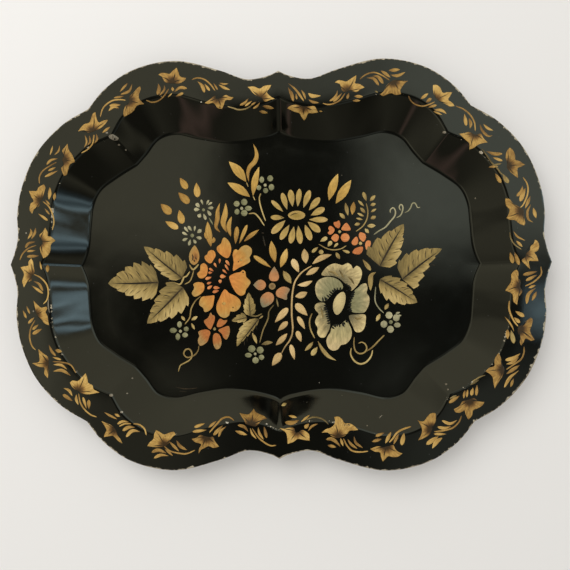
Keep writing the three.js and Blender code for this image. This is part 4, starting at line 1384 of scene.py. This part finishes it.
FILMS = {
    "orange_petal": ((-69, -14), (36, 48), ORANGE, "orange_paint"),
    "star_petal": ((-77.5, -75.5), (20, 20), STAR, "orange_paint"),
    "rose_petal": ((-9, -25.2), (23, 25), ROSE, "rose_paint"),
    "rose_eye": ((-9, -25.2), (5, 5), EYE_GREEN, "stone_paint"),
    "anemone_petal_crown": ((66, -21), (32, 25), CROWN, "cream_paint"),
    "anemone_petal_right_lower": ((80, -58), (24, 26), CROWN, "cream_paint"),
    "anemone_petal_left_lower": ((72, -48), (38, 56), BLUSH, "cream_paint"),
    "anemone_petal_foot": ((72, -48), (34, 52), FOOT, "stone_paint"),
    "anemone_petal": ((72, -48), (36, 54), GREY, "stone_paint"),
    "anemone_eye": ((69, -41), (12, 22), [(0.2, (204, 184, 130)), (1.0, (156, 142, 100))], "cream_paint"),
    "daisy_eye": ((20, 58.5), (11, 6), [(0.2, (148, 122, 54)), (0.9, (176, 146, 82))], "gold_paint"),
    "daisy": ((20, 58.5), (34, 34), DAISY, "gold_paint"),
    "gold_leaf_far_left": ((-35, 81), (34, 34), PLAIN, "gold_paint"),
    "gold_leaf_far_middle": ((-39.5, 99), (34, 34), PLAIN, "gold_paint"),
    "gold_leaf_far_right": ((-31.5, 82), (36, 36), PLAIN, "gold_paint"),
    "gold_leaf_pair": ((62, 74), (36, 36), PLAIN, "gold_paint"),
    "bud": ((-100, 10), (8, 15), BUD, "gold_paint"),
}
LEAF = [(0.1, (82, 68, 38)), (0.33, (124, 106, 60)), (0.56, (154, 131, 76)), (0.86, (186, 162, 104))]
# Toothed leaves: base, tip and half width, and which side is the paler one: 1 left, -1 right.
LEAVES = {
    "leaf_left_long": ((-144, -20), (-204, -21), 24, 1),
    "leaf_left_upper": ((-116, -15), (-161.5, 22.5), 16, 1),
    "leaf_left_lower": ((-115, -26), (-157.5, -68.5), 20, 1),
    "leaf_right_upper": ((118, -2), (146.5, 47.5), 20, -1),
    "leaf_right_long": ((144.5, -17.5), (191, 18), 19, -1),
    "leaf_right_lower": ((118, -17.5), (161.5, -45), 16, -1),
    "leaf_small_upper": ((-35, -60), (-37, -32.5), 8, 1),
    "leaf_small_middle": ((-39, -62), (-57, -66), 6, 1),
    "leaf_small_lower": ((-25, -63.5), (-51, -96), 13, -1),
}


def leaf_veins(painting, base, tip, width, pale_side):
    """A midrib, and short veins out from it that stop short of the edge."""
    base, tip = Vector(base), Vector(tip)
    along = tip - base
    left = Vector((-along.y, along.x)).normalized() * width
    at = lambda s, v: base + along * s + left * v
    size = min(1.0, width / 20)
    painting.stroke("umber", "dab", 2.2 * size, [at(0.92, 0), at(0.5, 0.03), at(0.0, 0)], FILM_TOP)
    count = 5 if width > 10 else 3
    for side in (-1, 1):
        shaded = side != pale_side
        for k in range(count):
            s = 0.14 + 0.56 * k / (count - 1) + random.uniform(-0.03, 0.03)
            reach = math.sin(math.pi * min(1.0, s + 0.12)) ** 0.6 * random.uniform(0.6, 0.8)
            near = random.uniform(0.2, 0.35) if shaded else random.uniform(0.4, 0.5)
            painting.stroke("umber", "sliver", (1.0 if shaded else 0.75) * size, [
                at(s + 0.05, side * near * reach), at(s + 0.1, side * 0.62 * reach),
                at(s + 0.16, side * random.uniform(0.75, 0.95) * reach)], FILM_TOP)


# The longest prefix of a film's name says how it looks.
for cad_name, cad_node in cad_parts.items():
    looks = [prefix for prefix in FILMS if cad_name.startswith(prefix)]
    if cad_name in LEAVES:
        base, tip, width, pale_side = LEAVES[cad_name]
        looked = leaf_film(cad_name + "_paint", base, tip, width * pale_side, LEAF)
        slot = "olive_paint"
    elif looks:
        centre, radii, stops, slot = FILMS[max(looks, key=len)]
        looked = round_film(cad_name + "_paint", centre, radii, stops)
    else:
        continue
    cad_node.data.materials.clear()
    cad_node.data.materials.append(looked)
for name, (base, tip, width, pale_side) in LEAVES.items():
    painting = Painting(name + "_veins", on_floor)
    leaf_veins(painting, base, tip, width, pale_side)
    painting.finish()


# ---- Studio --------------------------------------------------------------------------------


def dull(strength):
    """Yellowish grey light."""
    return (strength, strength * 0.95, strength * 0.64)


def cool(strength):
    """Bluish light."""
    return (strength * 0.65, strength * 0.92, strength)


# What the gloss mirrors round the tray, by compass angle: dull walls, and cool soft panels.
HORIZON = [
    (-180, dull(0.55)), (-160, dull(0.5)), (-131, dull(0.25)), (-122, dull(0.2)),
    (-117, (0.75, 0.5, 0.38)), (-111, dull(0.16)), (-80, dull(0.28)), (-60, dull(0.1)),
    (-38, dull(0.1)), (-31, dull(0.4)), (-20, dull(0.12)), (-15, cool(0.4)), (-12, cool(2.1)),
    (-8, cool(0.8)), (-5, cool(1.4)), (-2, cool(3.4)), (0.5, dull(0.4)), (3, dull(0.4)),
    (5.5, cool(3.8)), (8, cool(2.6)), (10, dull(0.4)), (12, dull(0.4)), (15, cool(3.4)),
    (18, cool(2.0)), (20, dull(0.5)),
    (28, dull(0.8)), (135, dull(0.9)), (150, dull(0.7)), (171, dull(0.6)), (176, dull(0.3)),
    (180, dull(0.55)),
]


def dim_room(tree):
    """The room that the gloss mirrors: paler overhead at the far side, left and right."""
    direction = node(tree, "ShaderNodeTexCoord").outputs["Generated"]
    x, y, z = node(tree, "ShaderNodeSeparateXYZ", {0: direction}).outputs
    west = math_node(tree, "MULTIPLY", x, -1.0)
    left = math_node(tree, "MULTIPLY", eased(tree, west, 0.08, 0.18), eased(tree, y, 0.0, 0.15, 0.85))
    right = math_node(tree, "MULTIPLY", eased(tree, x, 0.06, 0.2), eased(tree, y, 0.0, 0.15, 1.15))
    beyond = eased(tree, y, 0.24, 0.36, 0.85)
    edge = eased(tree, west, 0.26, 0.44, 0.95)
    south = math_node(tree, "MULTIPLY", y, -1.0)
    near = math_node(tree, "MULTIPLY", eased(tree, math_node(tree, "ABSOLUTE", x), 0.06, 0.24),
                     eased(tree, south, 0.06, 0.16, 0.3))
    paler = math_node(tree, "MAXIMUM", left, right)
    for other in (beyond, edge, near):
        paler = math_node(tree, "MAXIMUM", paler, other)
    strength = math_node(tree, "ADD", paler, 0.06)
    tint = ramp(tree, eased(tree, x, -0.3, 0.3), [(0.0, (1.0, 0.96, 0.66)), (1.0, (0.96, 1.04, 0.84))])
    overhead = node(tree, "ShaderNodeVectorMath", {0: tint, 3: strength}, operation="SCALE").outputs[0]
    panel = math_node(tree, "MULTIPLY", eased(tree, x, 0.34, 0.39), math_node(tree, "SUBTRACT", 1.0, eased(
        tree, math_node(tree, "ABSOLUTE", math_node(tree, "ADD", y, 0.02)), 0.01, 0.06)))
    overhead = mixed(tree, panel, overhead, (*cool(2.1), 1))
    compass = math_node(tree, "MULTIPLY_ADD", math_node(tree, "ARCTAN2", y, x), 0.5 / math.pi, 0.5)
    around = ramp(tree, compass, [(0.5 + angle / 360, colour) for angle, colour in HORIZON])
    return mixed(tree, eased(tree, z, 0.72, 0.85), around, overhead)


def studio():
    """A pale floor under even light and one soft lamp. Only the gloss sees the dim room."""
    scene = bpy.context.scene
    bpy.ops.mesh.primitive_plane_add(size=FLOOR_SIZE, location=(0, 0, FLOOR_DROP))
    floor = bpy.context.object
    floor.name = "studio_floor"
    material, tree, shader = new_material("pale_floor")
    shader.inputs["Base Color"].default_value = (0.82, 0.81, 0.79, 1)
    shader.inputs["Roughness"].default_value = 0.9
    floor.data.materials.append(material)

    camera = bpy.data.objects.new("camera", bpy.data.cameras.new("camera"))
    scene.collection.objects.link(camera)
    camera.data.lens = FRAME
    camera.data.sensor_width = FRAME
    camera.location = EYE * MM
    rotation = Matrix.Identity(3)
    for axis, angle in zip("XYZ", EYE_TURN):
        rotation = Matrix.Rotation(math.radians(angle), 3, axis) @ rotation
    camera.rotation_euler = rotation.transposed().to_euler()
    scene.camera = camera

    world = bpy.data.worlds.new("studio")
    scene.world = world
    world.use_nodes = True
    tree = world.node_tree
    tree.nodes.clear()
    rays = node(tree, "ShaderNodeLightPath")
    soft = node(tree, "ShaderNodeBackground", {"Color": (1.0, 0.98, 0.95, 1), "Strength": AMBIENT})
    mirrored = node(tree, "ShaderNodeBackground", {"Color": dim_room(tree), "Strength": 1.0})
    mix = node(tree, "ShaderNodeMixShader", {0: rays.outputs["Is Glossy Ray"], 1: soft.outputs[0],
                                            2: mirrored.outputs[0]})
    output = node(tree, "ShaderNodeOutputWorld")
    tree.links.new(mix.outputs[0], output.inputs[0])

    lamp = bpy.data.lights.new("soft_key", "AREA")
    lamp.shape = "DISK"
    lamp.size = KEY_SIZE
    lamp.energy = KEY_POWER
    key = bpy.data.objects.new("soft_key", lamp)
    scene.collection.objects.link(key)
    key.location = KEY_PLACE
    key.rotation_euler = (Vector((0, 0, 0)) - Vector(key.location)).to_track_quat("-Z", "Y").to_euler()
    key.visible_glossy = False
    scene.view_settings.view_transform = "Standard"


studio()
